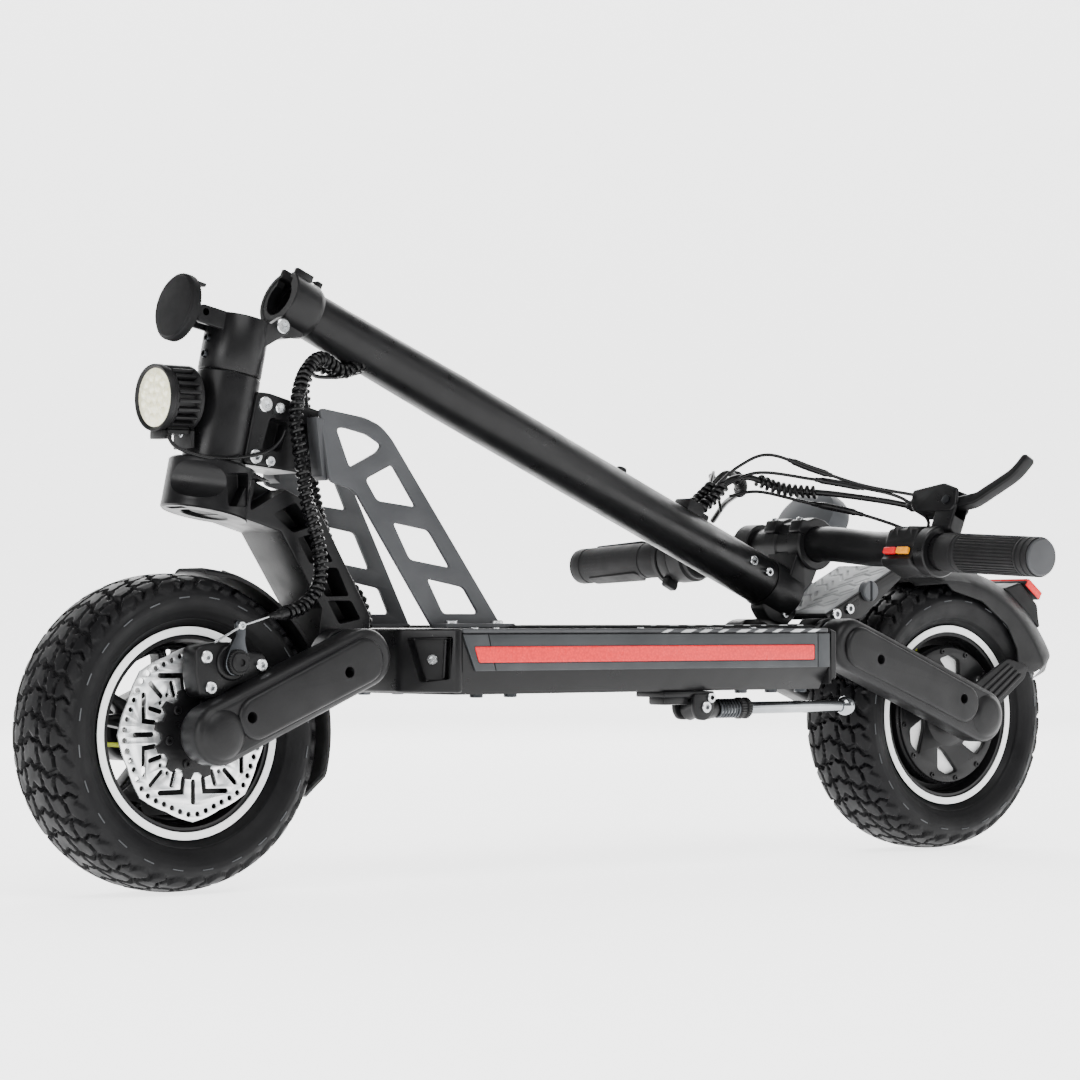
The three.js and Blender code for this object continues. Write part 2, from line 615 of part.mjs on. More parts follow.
function throttleLever() {
  const [x, , z] = barPoint(THROTTLE_Y);
  const ring = sleeve(THROTTLE_Y - 6, THROTTLE_Y + 6, 24, 20.7);
  const paddle = block(x + 21, x + 33, THROTTLE_Y - 4, THROTTLE_Y + 4, z - 9, z + 7);
  return join(ring, paddle);
}

function display() {
  const shell = new THREE.CylinderGeometry(32, 29, 22, 24).rotateX(Math.PI / 2);
  const tilt = THREE.MathUtils.degToRad(8);
  const head = solidOf(shell.scale(1.1, 1.3, 1).rotateY(tilt).translate(BAR_X - 50, 66, BAR_HEIGHT + 62));
  const neckShape = new THREE.BoxGeometry(16, 22, 50).rotateY(THREE.MathUtils.degToRad(-36));
  const neck = solidOf(neckShape.translate(BAR_X - 24, 62, BAR_HEIGHT + 34));
  const ring = sleeve(52, 72, 22);
  return cut(join(head, neck, ring), barRound(48, 76, BAR_BORE));
}

// ---------- suspension arms ----------
function suspensionArm(side, pivot, axle, axleSpace) {
  const inner = side * ARM_INNER;
  const outer = side * ARM_OUTER;
  const ends = [Math.min(inner, outer), Math.max(inner, outer)];
  const body = across(taperedBar(axle, ARM_AXLE_RADIUS, pivot, ARM_PIVOT_RADIUS), ...ends);
  const deep = side * (ARM_OUTER - 12);
  const bores = [Math.min(side * 40, deep), Math.max(side * 40, deep)];
  return cut(body,
    crossBar(axleSpace, axle.x, axle.z, ...bores),
    crossBar(PIVOT_SHAFT_RADIUS + FIT, pivot.x, pivot.z, ...bores));
}

const CALIPER = { x: 20, z: 56 }; // turning point of its arm, from the axle

function brakeCaliper() {
  const x = FRONT_AXLE.x + CALIPER.x + 2;
  const z = FRONT_AXLE.z + CALIPER.z - 4;
  const body = block(x - 34, x + 28, -64, -31, z - 16, z + 26);
  const slot = block(x - 40, x + 40, -DISC_PLANE - 2.5, -DISC_PLANE + 2.5, z - 30, z + 21);
  const foot = block(x - 4, x + 30, -ARM_INNER + FIT, -DISC_PLANE - 3, z - 34, z - 14);
  const tyreSpace = turned([[86, -TYRE_HALF - 1], [86, TYRE_HALF], [140, TYRE_HALF], [140, -TYRE_HALF - 1]]);
  const pivot = crossBar(6, x - 2, z + 4, -70, -60, 16);
  const armSpace = across(taperedBar(FRONT_AXLE, ARM_AXLE_RADIUS + 0.5, FRONT_PIVOT,
    ARM_PIVOT_RADIUS + 0.5), -ARM_OUTER - 1, -ARM_INNER + 0.2);
  const clear = tyreSpace.translate([FRONT_AXLE.x, 0, FRONT_AXLE.z]);
  return cut(join(body, foot, pivot), slot, clear, armSpace);
}

function caliperArm() {
  const x = FRONT_AXLE.x + CALIPER.x;
  const z = FRONT_AXLE.z + CALIPER.z;
  const outline = taperedBar({ x, z }, 10, { x: x + 4, z: z + 30 }, 5);
  return cut(across(outline, -70, -65), crossBar(6 + FIT, x, z, -80, -50, 16));
}

function rearFender() {
  const first = TYRE_RADIUS + FENDER_GAP + 5;
  const band = fenderBand(REAR_AXLE, 106, 14, first, first + 22, TYRE_HALF + 6);
  const outer = TYRE_HALF + 6;
  const polar = (degrees, radius) => {
    const angle = THREE.MathUtils.degToRad(degrees);
    return [REAR_AXLE.x + radius * Math.cos(angle), REAR_AXLE.z + radius * Math.sin(angle)];
  };
  const crown = (degrees) => polar(degrees, first + 1 + 22 * ((106 - degrees) / 92) ** 2);
  const skirtOutline = [
    ...[106, 95, 83, 70, 60, 50, 40, 30, 22, 14].map(crown), polar(13, TYRE_RADIUS - 22), polar(22, TYRE_RADIUS - 34),
    polar(30, TYRE_RADIUS - 27), polar(38, TYRE_RADIUS - 14), polar(50, TYRE_RADIUS - 5),
    polar(66, TYRE_RADIUS - 9), polar(83, TYRE_RADIUS - 14), polar(98, TYRE_RADIUS - 6),
  ];
  const stayOutline = [
    [REAR_AXLE.x + 14, REAR_AXLE.z + 16], [REAR_AXLE.x + 14, REAR_AXLE.z - 12],
    [REAR_AXLE.x + 58, REAR_AXLE.z - 8], [REAR_AXLE.x + TYRE_RADIUS - 27, REAR_AXLE.z + 24],
    [REAR_AXLE.x + TYRE_RADIUS - 41, REAR_AXLE.z + 46],
  ];
  const stay = (y0, y1) => join(across(skirtOutline, y0, y1), across(stayOutline, y0, y1));
  const seat = TYRE_RADIUS + FENDER_GAP + 28.5;
  const lampSeat = across([polar(57, seat - 18), polar(51, seat), polar(41, seat), polar(34, seat - 10)], -32, 32);
  return join(band, stay(-outer, -outer + 3), stay(outer - 3, outer), lampSeat);
}

function tailLight() {
  const angle = THREE.MathUtils.degToRad(46);
  const reach = TYRE_RADIUS + FENDER_GAP + 36;
  const lamp = new THREE.BoxGeometry(26, 70, 9).rotateY(Math.PI / 2 - angle - 0.12);
  return solidOf(lamp.translate(REAR_AXLE.x + reach * Math.cos(angle), 0, REAR_AXLE.z + reach * Math.sin(angle)));
}

// ---------- wheels, around their own axles ----------
function tyre() {
  const shoulder = TYRE_RADIUS - 5;
  const half = [
    [RIM_RADIUS - 8 + FIT, RIM_HALF - 6], [RIM_RADIUS - 8 + FIT, RIM_HALF - FIT],
    [RIM_RADIUS + 4, RIM_HALF - FIT], [RIM_RADIUS + 12, TYRE_HALF - 5], [TYRE_RADIUS - 22, TYRE_HALF],
    [TYRE_RADIUS - 12, TYRE_HALF - 2], [shoulder, TREAD_HALF + 8], [TYRE_RADIUS, TREAD_HALF - 2],
  ];
  const inside = [
    [TYRE_RADIUS - TYRE_WALL - 3, TREAD_HALF - 6], [TYRE_RADIUS - 22, TYRE_HALF - TYRE_WALL],
    [RIM_RADIUS + 10, RIM_HALF - 2],
  ];
  const mirror = (points) => points.map(([radius, width]) => [radius, -width]).reverse();
  return turned([...half, ...mirror(half), ...mirror(inside).reverse(), ...inside.slice().reverse()]);
}

function rimRing() {
  const bead = RIM_RADIUS - 8;
  const half = [[bead, RIM_HALF - 8], [bead, RIM_HALF + FIT], [RIM_RADIUS, RIM_HALF + FIT],
    [RIM_RADIUS, RIM_HALF + 3], [bead - 4, RIM_HALF + 3], [bead - 10, 10]];
  const mirror = half.map(([radius, width]) => [radius, -width]).reverse();
  return turned([...half, ...mirror]);
}

const SPOKES = 5;

function frontRim() {
  const spokes = Array.from({ length: SPOKES }, (_, i) => {
    const bar = new THREE.BoxGeometry(18, 18, RIM_RADIUS - 14 - HUB_RADIUS + 10);
    bar.translate(0, 0, (RIM_RADIUS - 14 + HUB_RADIUS) / 2);
    return solidOf(bar.rotateY((i * 2 * Math.PI) / SPOKES + 0.3));
  });
  const hub = turned([[AXLE_RADIUS + FIT, -DISC_PLANE + 1 + FIT], [HUB_RADIUS, -DISC_PLANE + 1 + FIT],
    [HUB_RADIUS, 34], [AXLE_RADIUS + FIT, 34]]);
  return join(rimRing(), hub, ...spokes);
}

function brakeDisc() {
  const sides = 48;
  const outline = Array.from({ length: sides }, (_, i) => {
    const angle = (i * 2 * Math.PI) / sides;
    const radius = DISC_RADIUS - 1.5 + 1.5 * Math.cos(8 * angle);
    return [radius * Math.cos(angle), radius * Math.sin(angle)];
  });
  const half = DISC_THICKNESS / 2;
  const body = across(outline, -DISC_PLANE - half, -DISC_PLANE + half);
  const slots = Array.from({ length: 8 }, (_, i) => {
    const bar = new THREE.BoxGeometry(5, 10, 16).translate(0, -DISC_PLANE, 44);
    return solidOf(bar.rotateY((i * 2 * Math.PI) / 8));
  });
  return cut(body, crossBar(AXLE_RADIUS + 3, 0, 0, -60, -20), ...slots);
}

function motorHub() {
  const half = RIM_HALF + 2;
  const inner = MOTOR_RADIUS - 4;
  const mirror = (points) => points.map(([radius, width]) => [radius, -width]).reverse();
  const side = [[RIM_RADIUS - 10, 12], [MOTOR_RADIUS, 16], [MOTOR_RADIUS, half], [AXLE_RADIUS + FIT, half + 6]];
  const cavity = [[AXLE_RADIUS + FIT, half - 3], [inner, half - 5]];
  const shell = turned([...side, ...cavity, ...mirror(cavity), ...mirror(side)]);
  return join(rimRing(), shell);
}

function statorAxle() {
  const shaft = crossBar(AXLE_RADIUS, REAR_AXLE.x, REAR_AXLE.z, -ARM_OUTER + 13, ARM_OUTER - 13);
  const core = crossBar(MOTOR_RADIUS - 6, REAR_AXLE.x, REAR_AXLE.z, -16, 16, 36);
  return join(shaft, core);
}

// ---------- foot rest and stand ----------
const REST_HALF = 41;
const REST_LOW = { x: 260, z: COVER_TOP + 12 };
const REST_HIGH = { x: 356, z: COVER_TOP + 58 };

function footRest() {
  const low = REST_LOW;
  const high = REST_HIGH;
  const plate = across([[low.x, low.z], [low.x + 2, low.z - 5], [high.x + 2, high.z - 5],
    [high.x, high.z]], -REST_HALF, REST_HALF);
  const cheek = (y0, y1) => across([[DECK_REAR + 16, COVER_TOP + FIT], [low.x - 12, COVER_TOP + FIT], [low.x + 2, COVER_TOP + 7],
    [low.x + 44, COVER_TOP + 8], [high.x + 1, high.z - 12], [high.x + 1, high.z - 3],
    [low.x + 1, low.z - 3], [DECK_REAR + 24, COVER_TOP + 8]], y0, y1);
  return join(plate, cheek(-REST_HALF, -REST_HALF + 4), cheek(REST_HALF - 4, REST_HALF));
}

const STAND = { x: 67, y: -75, z: 140 };
const STAND_REACH = 188;
const STAND_TILT = THREE.MathUtils.degToRad(20);

const STAND_BARREL = 9;

function standBarrel(radius, length) {
  const bar = new THREE.CylinderGeometry(radius, radius, length, ROUND).rotateX(-STAND_TILT);
  return solidOf(bar.translate(STAND.x, STAND.y, STAND.z));
}

function kickstandBracket() {
  const top = DECK_FLOOR - FIT;
  const plate = block(STAND.x - 44, STAND.x + 14, STAND.y - 12, STAND.y + 26, top - 5, top);
  const lug = block(STAND.x - 40, STAND.x - 12, STAND.y - 10, STAND.y + 12, STAND.z + 3, top - 3);
  const barrelSpace = standBarrel(STAND_BARREL + 1, 40);
  return cut(join(plate, lug), barrelSpace);
}

function kickstandLeg() {
  const barrel = standBarrel(STAND_BARREL, 20);
  const leg = lengthBar(6, 0, 0, STAND_REACH - 6, 16).translate([STAND.x, STAND.y, STAND.z - 1]);
  const foot = solidOf(new THREE.SphereGeometry(9, 16, 10).translate(
    STAND.x + STAND_REACH - 4, STAND.y, STAND.z - 1));
  return join(barrel, leg, foot);
}

// ---------- cables ----------
const CABLE_RADIUS = 3.5;

// Inside the stem tube, from its upper opening to its lower one.
const stemRun = (y) => [
  onStem(-44, y, CABLE_ENTRY), onStem(-30, y, CABLE_ENTRY - 30), onStem(-28, y, 380), onStem(-28, y, 280),
  onStem(-28, y, 180), onStem(-24, y, CABLE_EXIT + 30), onStem(-10, y, CABLE_EXIT + 8), onStem(2, y, CABLE_EXIT - 5),
];

function brakeCable() {
  const route = [
    [293, -131, 316], [281, -104, 323], [252, -60, 331], [222, -24, 336], [195, -10, 346], [172, -6, 343],
    [152, -6, 326], ...stemRun(-6), [-285, -10, 432], [-308, -22, 420], [-322, -31, 402], [-327, -34, 380],
    [-325, -38, 350], [-322, -42, 314], [-314, -48, 275], [-318, -54, 246], [-338, -60, 228],
    [-362, -65, 221], [-383, -67.5, 220],
  ];
  return tube(route, CABLE_RADIUS, 64);
}

function mainHarness() {
  const route = [
    [279, 134, 312], [262, 98, 327], [238, 52, 336], [208, 20, 345], [180, 8, 350], [156, 6, 333],
    ...stemRun(6), [-278, 8, 428], [-289, 9, 412], [-289, 9, 388], [-284, 9, 350], [-276, 9, 310],
    [-262, 10, 276], [-246, 10, 250], [-230, 10, 232], [-224, 10, COVER_TOP + 1],
  ];
  return tube(route, CABLE_RADIUS, 60);
}

add(scooter, 'deck_shell', deckShell(), satinBlack);
add(scooter, 'deck_cover', block(DECK_FRONT, DECK_REAR, -DECK_HALF, DECK_HALF, SHELL_TOP + FIT, COVER_TOP),
  satinBlack);
add(scooter, 'deck_mat', block(-146, DECK_REAR - 4, -90, 90, COVER_TOP + FIT, COVER_TOP + MAT_THICKNESS),
  rubber);
add(scooter, 'battery_pack', block(-150, DECK_REAR - 16, -78, 78, DECK_FLOOR + DECK_WALL + FIT, SHELL_TOP - 2),
  packBlue);
add(scooter, 'controller', block(DECK_FRONT + 6, -156, -60, 60, DECK_FLOOR + DECK_WALL + FIT, SHELL_TOP - 8),
  darkSteel);
add(scooter, 'reflector_left', reflector(-1), lampRed);
add(scooter, 'reflector_right', reflector(1), lampRed);
add(scooter, 'nose_casting', noseCasting(), satinBlack);
add(scooter, 'tail_casting', tailCasting(), satinBlack);
add(scooter, 'gusset_left', gusset(-1), greyPlate);
add(scooter, 'gusset_right', gusset(1), greyPlate);
add(scooter, 'foot_rest', footRest(), satinBlack);
add(scooter, 'kickstand_bracket', kickstandBracket(), satinBlack);
add(scooter, 'kickstand_leg', kickstandLeg(), darkSteel);
add(scooter, 'rear_pivot_shaft', crossBar(PIVOT_SHAFT_RADIUS, REAR_PIVOT.x, REAR_PIVOT.z,
  -ARM_OUTER + 13, ARM_OUTER - 13), brightSteel);
add(scooter, 'front_pivot_shaft', crossBar(PIVOT_SHAFT_RADIUS, FRONT_PIVOT.x, FRONT_PIVOT.z,
  -ARM_OUTER + 13, ARM_OUTER - 13), brightSteel);
add(scooter, 'headlight_housing', headlightHousing(), mattePlastic);
add(scooter, 'headlight_lens', headlightLens(), lampClear);
add(scooter, 'fork_crown', forkCrown(), satinBlack);
add(scooter, 'front_fender', frontFender(), mattePlastic);
for (const [name, side] of [['left', -1], ['right', 1]]) {
  add(scooter, `front_arm_${name}`, suspensionArm(side, FRONT_PIVOT, FRONT_AXLE, AXLE_RADIUS + FIT), satinBlack);
  add(scooter, `rear_arm_${name}`, suspensionArm(side, REAR_PIVOT, REAR_AXLE, AXLE_RADIUS + FIT), satinBlack);
}
add(scooter, 'front_axle', crossBar(AXLE_RADIUS, FRONT_AXLE.x, FRONT_AXLE.z, -ARM_OUTER + 13, ARM_OUTER - 13),
  brightSteel);
add(scooter, 'brake_caliper', brakeCaliper(), satinBlack);
add(scooter, 'caliper_arm', caliperArm(), darkSteel);
add(scooter, 'rear_fender', rearFender(), mattePlastic);
add(scooter, 'tail_light', tailLight(), lampRed);
add(scooter, 'motor_axle', statorAxle(), brightSteel);
add(scooter, 'brake_cable', brakeCable(), rubber);
add(scooter, 'main_harness', mainHarness(), rubber);

add(column, 'head_tube', headTube(), satinBlack);
add(column, 'head_bracket', headBracket(), satinBlack);
add(column, 'headset_bearing_lower', headsetBearing(FIT + 0.4), brightSteel);
add(column, 'headset_bearing_upper', headsetBearing(HEAD_LENGTH - BEARING_HEIGHT - 0.7), brightSteel);
add(column, 'steerer_column', steererColumn(), satinBlack);
add(column, 'fold_pin', crossBar(4, HINGE_OFFSET, COLUMN_LENGTH, -24, 24, 16), brightSteel);
add(column, 'clamp_bolt', clampBolt(), satinBlack);
add(column, 'clamp_knob', clampKnob(), satinBlack);

add(stem, 'stem_collar', stemCollar(), satinBlack);
add(stem, 'stem_tube', stemTube(), satinBlack);
add(stem, 'stem_end_collar', stemEndCollar(), satinBlack);
add(stem, 'handlebar_clamp', handlebarClamp(), satinBlack);
add(stem, 'handlebar', handlebar(), satinBlack);
add(stem, 'grip_left', grip(-1), rubber);
add(stem, 'grip_right', grip(1), rubber);
add(stem, 'switch_pod', switchPod(), mattePlastic);
add(stem, 'horn_button', button(BUTTON_HORN), lampRed);
add(stem, 'signal_button', button(BUTTON_SIGNAL), lampAmber);
add(stem, 'lever_bracket', leverBracket(), satinBlack);
add(stem, 'brake_lever', brakeLever(), satinBlack);
add(stem, 'throttle_housing', throttleHousing(), mattePlastic);
add(stem, 'throttle_lever', throttleLever(), mattePlastic);
add(stem, 'display', display(), greyPlate);

add(frontWheel, 'front_tyre', tyre(), rubber);
add(frontWheel, 'front_rim', frontRim(), satinBlack);
add(frontWheel, 'brake_disc', brakeDisc(), brightSteel);
add(rearWheel, 'rear_tyre', tyre(), rubber);
add(rearWheel, 'motor_hub', motorHub(), satinBlack);

// The origin is on the ground, under the middle of the scooter's box.
const size = new THREE.Box3().setFromObject(scooter);
scooter.position.set(-(size.min.x + size.max.x) / 2, 0, -size.min.z);

export default scooter;
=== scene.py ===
"""Looks of an electric kick scooter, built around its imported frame. Metres, +Z up, -X forward."""

import json
import logging
import math
from dataclasses import dataclass, field
from enum import Enum
from typing import Callable, Sequence

import bmesh
import bpy
import numpy as np
from mathutils import Matrix, Quaternion, Vector

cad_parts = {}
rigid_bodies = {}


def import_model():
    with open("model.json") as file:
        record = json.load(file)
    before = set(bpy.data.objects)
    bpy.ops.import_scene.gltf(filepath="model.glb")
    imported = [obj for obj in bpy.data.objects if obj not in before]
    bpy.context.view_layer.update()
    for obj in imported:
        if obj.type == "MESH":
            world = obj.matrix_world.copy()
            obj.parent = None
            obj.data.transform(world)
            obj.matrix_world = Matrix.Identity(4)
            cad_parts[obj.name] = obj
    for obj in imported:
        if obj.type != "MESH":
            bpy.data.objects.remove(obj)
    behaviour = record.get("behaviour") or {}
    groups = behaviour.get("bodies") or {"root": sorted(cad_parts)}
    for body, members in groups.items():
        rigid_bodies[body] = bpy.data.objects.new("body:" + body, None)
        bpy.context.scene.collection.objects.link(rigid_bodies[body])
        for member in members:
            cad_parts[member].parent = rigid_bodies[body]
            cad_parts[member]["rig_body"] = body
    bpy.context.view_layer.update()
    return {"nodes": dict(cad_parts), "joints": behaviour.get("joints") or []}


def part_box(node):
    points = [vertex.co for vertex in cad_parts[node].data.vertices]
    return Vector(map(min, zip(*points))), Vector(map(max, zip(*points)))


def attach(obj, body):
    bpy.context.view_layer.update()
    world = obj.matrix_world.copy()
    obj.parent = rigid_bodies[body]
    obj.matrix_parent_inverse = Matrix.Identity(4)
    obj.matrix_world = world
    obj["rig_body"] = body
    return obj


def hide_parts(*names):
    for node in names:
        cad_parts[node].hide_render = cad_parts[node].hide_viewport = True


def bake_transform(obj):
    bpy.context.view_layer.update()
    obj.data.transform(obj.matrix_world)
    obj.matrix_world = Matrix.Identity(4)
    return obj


log = logging.getLogger("scooter")
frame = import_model()

MM = 0.001
Point2 = tuple[float, float]
Point3 = tuple[float, float, float]


# ---------------------------------------------------------------- places


@dataclass(frozen=True)
class Places:
    """Where each group of pieces is drawn from, as matrices from local millimetres to the frame.

    Args:
        world: the middle of the wheelbase, on the ground.
        column: lower end of the head tube, Z up the steering axis.
        stem: the fold pin, Z along the stem.
        front: the front axle.
        rear: the rear axle.
    """

    world: Matrix
    column: Matrix
    stem: Matrix
    front: Matrix
    rear: Matrix

    @classmethod
    def from_joints(cls, joints: Sequence[dict]) -> "Places":
        """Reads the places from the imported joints."""
        named = {joint["name"]: joint for joint in joints}
        scale = Matrix.Scale(MM, 4)
        front = Vector(named["front_wheel_spin"]["pos_m"])
        rear = Vector(named["rear_wheel_spin"]["pos_m"])
        axis = Vector(named["steering"]["axis"])
        rake = math.atan2(axis.x, axis.z)
        fold = math.radians(named["stem_fold"]["range_deg"][1])
        middle = Vector(((front.x + rear.x) / 2, 0, 0))

        def at(point: Vector, turn: float = 0.0) -> Matrix:
            return Matrix.Translation(point) @ Matrix.Rotation(turn, 4, "Y") @ scale

        return cls(world=at(middle), column=at(Vector(named["steering"]["pos_m"]), rake),
            stem=at(Vector(named["stem_fold"]["pos_m"]), rake + fold), front=at(front), rear=at(rear))


PLACES = Places.from_joints(frame["joints"])


# ---------------------------------------------------------------- mesh making


class Axis(Enum):
    """The local axis that a turned or extruded shape is made along."""

    X = "X"
    Y = "Y"
    Z = "Z"

    def point(self, across: float, up: float, run: float) -> Vector:
        """Puts two coordinates of a section and one along the axis in place."""
        if self is Axis.Y:
            return Vector((across, run, up))
        if self is Axis.X:
            return Vector((run, across, up))
        return Vector((across, up, run))


def arc(centre: Point2, radius: float, start: float, end: float, steps: int = 8) -> list[Point2]:
    """Points of an arc, with its angles in degrees."""
    angles = [math.radians(start + (end - start) * i / steps) for i in range(steps + 1)]
    return [(centre[0] + radius * math.cos(a), centre[1] + radius * math.sin(a)) for a in angles]


def turns(count: int) -> list[float]:
    """Even angles of a full turn, in radians."""
    return [2 * math.pi * k / count for k in range(count)]


def rounded(corners: Sequence[Point2], radius: float, steps: int = 5) -> list[Point2]:
    """A polygon with its corners rounded.

    Args:
        corners: the sharp corners in order.
        radius: the rounding wanted; short edges get less.
        steps: points along each rounding.

    Returns:
        The rounded outline.
    """
    outline: list[Point2] = []
    count = len(corners)
    for i, corner in enumerate(corners):
        here = Vector(corner)
        back = Vector(corners[i - 1]) - here
        ahead = Vector(corners[(i + 1) % count]) - here
        reach = min(radius, back.length * 0.45, ahead.length * 0.45)
        first, last = here + back.normalized() * reach, here + ahead.normalized() * reach
        for k in range(steps + 1):
            t = k / steps
            spot = first * (1 - t) ** 2 + here * 2 * t * (1 - t) + last * t**2
            outline.append((spot.x, spot.y))
    return outline


def capsule(
    start: Point2, end: Point2, first: float, last: float | None = None, steps: int = 10
) -> list[Point2]:
    """The outline of a bar with round ends, wider at one end where last is given."""
    last = first if last is None else last
    way = math.degrees(math.atan2(end[1] - start[1], end[0] - start[0]))
    return arc(end, last, way - 90, way + 90, steps) + arc(start, first, way + 90, way + 270, steps)


def smooth_route(points: Sequence[Point3], step: float) -> list[Vector]:
    """A Catmull-Rom curve through points, sampled about every step."""
    spots = [Vector(p) for p in points]
    ends = [spots[0] * 2 - spots[1], *spots, spots[-1] * 2 - spots[-2]]
    route: list[Vector] = []
    for a, b, c, d in zip(ends, ends[1:], ends[2:], ends[3:]):
        count = max(1, round((c - b).length / step))
        for k in range(count):
            t = k / count
            route.append(0.5 * (2 * b + (c - a) * t + (2 * a - 5 * b + 4 * c - d) * t ** 2
                + (3 * b - a - 3 * c + d) * t ** 3))
    return [*route, spots[-1]]


class Shape:
    """A mesh being made, in local millimetres."""

    def __init__(self) -> None:
        """Starts with nothing."""
        self.bm = bmesh.new()

    def grid(self, rings: Sequence[Sequence[Vector]], closed: bool = True, caps: bool = True) -> "Shape":
        """Skins rings of points, with caps where they are asked for."""
        rows = [[self.bm.verts.new(p) for p in ring] for ring in rings]
        count = len(rows[0])
        span = count if closed else count - 1
        for low, high in zip(rows, rows[1:]):
            for i in range(span):
                self.bm.faces.new((low[i], low[(i + 1) % count], high[(i + 1) % count], high[i]))
        if caps:
            self.bm.faces.new(rows[0][::-1])
            self.bm.faces.new(rows[-1])
        return self

    def lathe(self, outline: Sequence[Point2], axis: Axis, sides: int = 64, loop: bool = False,
              centre: Point2 = (0, 0)) -> "Shape":
        """Turns an outline of (radius, run) around an axis.

        Args:
            outline: points from one end to the other, or all the way round where loop is set.
            axis: the axis of turning.
            sides: steps around.
            loop: whether the outline closes on itself.
            centre: where the axis crosses the other two coordinates.

        Returns:
            This shape.
        """
        rings = []
        for radius, run in [*outline, outline[0]] if loop else outline:
            reach = max(radius, 0.001)
            rings.append([axis.point(centre[0] + reach * math.cos(a), centre[1] + reach * math.sin(a), run)
                for a in turns(sides)])
        return self.grid(rings, caps=not loop)

    def plate(self, outline: Sequence[Point2], run: Point2, axis: Axis = Axis.Y, bevel: float = 0.6,
              holes: Sequence[Sequence[Point2]] = (), steps: int = 2) -> "Shape":
        """Extrudes an outline with holes, its edges rounded inwards.

        Args:
            outline: the outer outline in the plane across the axis.
            run: start and end along the axis.
            axis: the axis of extrusion.
            bevel: how far each edge is rounded.
            holes: outlines cut out of it.
            steps: segments of the rounding.

        Returns:
            This shape.
        """
        half = abs(run[1] - run[0]) / 2
        bevel = min(bevel, half * 0.98)
        curve = bpy.data.curves.new("plate", "CURVE")
        curve.dimensions, curve.fill_mode = "2D", "BOTH"
        curve.extrude, curve.bevel_depth = half - bevel, bevel
        curve.bevel_resolution, curve.offset = steps, -bevel
        for loop in (outline, *holes):
            spline = curve.splines.new("POLY")
            spline.points.add(len(loop) - 1)
            for point, (a, b) in zip(spline.points, loop):
                point.co = (a, b, 0, 1)
            spline.use_cyclic_u = True
        holder = bpy.data.objects.new("plate", curve)
        bpy.context.scene.collection.objects.link(holder)
        bpy.context.view_layer.update()
        flat = bpy.data.meshes.new_from_object(holder.evaluated_get(bpy.context.evaluated_depsgraph_get()))
        bpy.data.objects.remove(holder)
        bpy.data.curves.remove(curve)
        middle = (run[0] + run[1]) / 2
        extra = bmesh.new()
        extra.from_mesh(flat)
        bpy.data.meshes.remove(flat)
        bmesh.ops.remove_doubles(extra, verts=extra.verts, dist=0.001)
        for vert in extra.verts:
            vert.co = axis.point(vert.co.x, vert.co.y, vert.co.z + middle)
        return self.absorb(extra)

    def block(self, low: Point3, high: Point3, bevel: float = 1.0, steps: int = 2) -> "Shape":
        """A box with rounded edges, from its lowest to its highest corner."""
        extra = bmesh.new()
        bmesh.ops.create_cube(extra, size=1.0)
        for vert in extra.verts:
            vert.co = Vector([(l + h) / 2 + c * (h - l) for l, h, c in zip(low, high, vert.co)])
        if bevel:
            bmesh.ops.bevel(extra, geom=extra.edges[:], offset=bevel, segments=steps, profile=0.5,
                affect="EDGES")
        return self.absorb(extra)

    def tube(self, route: Sequence[Vector], radius: float | Callable[[float], float], sides: int = 16,
             caps: bool = True) -> "Shape":
        """Sweeps a circle along a route; radius may depend on the share of the way."""
        size = radius if callable(radius) else (lambda _: radius)
        count = len(route)
        ways = [(route[min(i + 1, count - 1)] - route[max(i - 1, 0)]).normalized() for i in range(count)]
        side = ways[0].orthogonal().normalized()
        rings = []
        for i, (spot, way) in enumerate(zip(route, ways)):
            side = (side - way * side.dot(way)).normalized()
            other = way.cross(side)
            reach = size(i / (count - 1))
            rings.append([spot + (side * math.cos(a) + other * math.sin(a)) * reach for a in turns(sides)])
        return self.grid(rings, caps=caps)

    def absorb(self, other: "bmesh.types.BMesh | Shape", place: Matrix | None = None) -> "Shape":
        """Adds another mesh to this one, moved by place where it is given."""
        extra = other.bm if isinstance(other, Shape) else other
        if place is not None:
            bmesh.ops.transform(extra, matrix=place, verts=extra.verts)
        mesh = bpy.data.meshes.new("part")
        extra.to_mesh(mesh)
        extra.free()
        self.bm.from_mesh(mesh)
        bpy.data.meshes.remove(mesh)
        return self

    def moved(self, place: Matrix) -> "Shape":
        """Moves the whole shape."""
        bmesh.ops.transform(self.bm, matrix=place, verts=self.bm.verts)
        return self

    def cut(self, tool: "Shape") -> "Shape":
        """Cuts another shape out of this one."""
        first, second = self._object(self.bm), self._object(tool.bm)
        boolean = first.modifiers.new("cut", "BOOLEAN")
        boolean.operation, boolean.solver, boolean.object = "DIFFERENCE", "EXACT", second
        boolean.use_self = True
        bpy.context.view_layer.update()
        result = bpy.data.meshes.new_from_object(first.evaluated_get(bpy.context.evaluated_depsgraph_get()))
        for holder in (first, second):
            data = holder.data
            bpy.data.objects.remove(holder)
            bpy.data.meshes.remove(data)
        self.bm = bmesh.new()
        self.bm.from_mesh(result)
        bpy.data.meshes.remove(result)
        return self

    @staticmethod
    def _object(bm: "bmesh.types.BMesh") -> bpy.types.Object:
        """Wraps a mesh in a linked object for a modifier."""
        bmesh.ops.recalc_face_normals(bm, faces=bm.faces)
        mesh = bpy.data.meshes.new("tool")
        bm.to_mesh(mesh)
        bm.free()
        holder = bpy.data.objects.new("tool", mesh)
        bpy.context.scene.collection.objects.link(holder)
        return holder

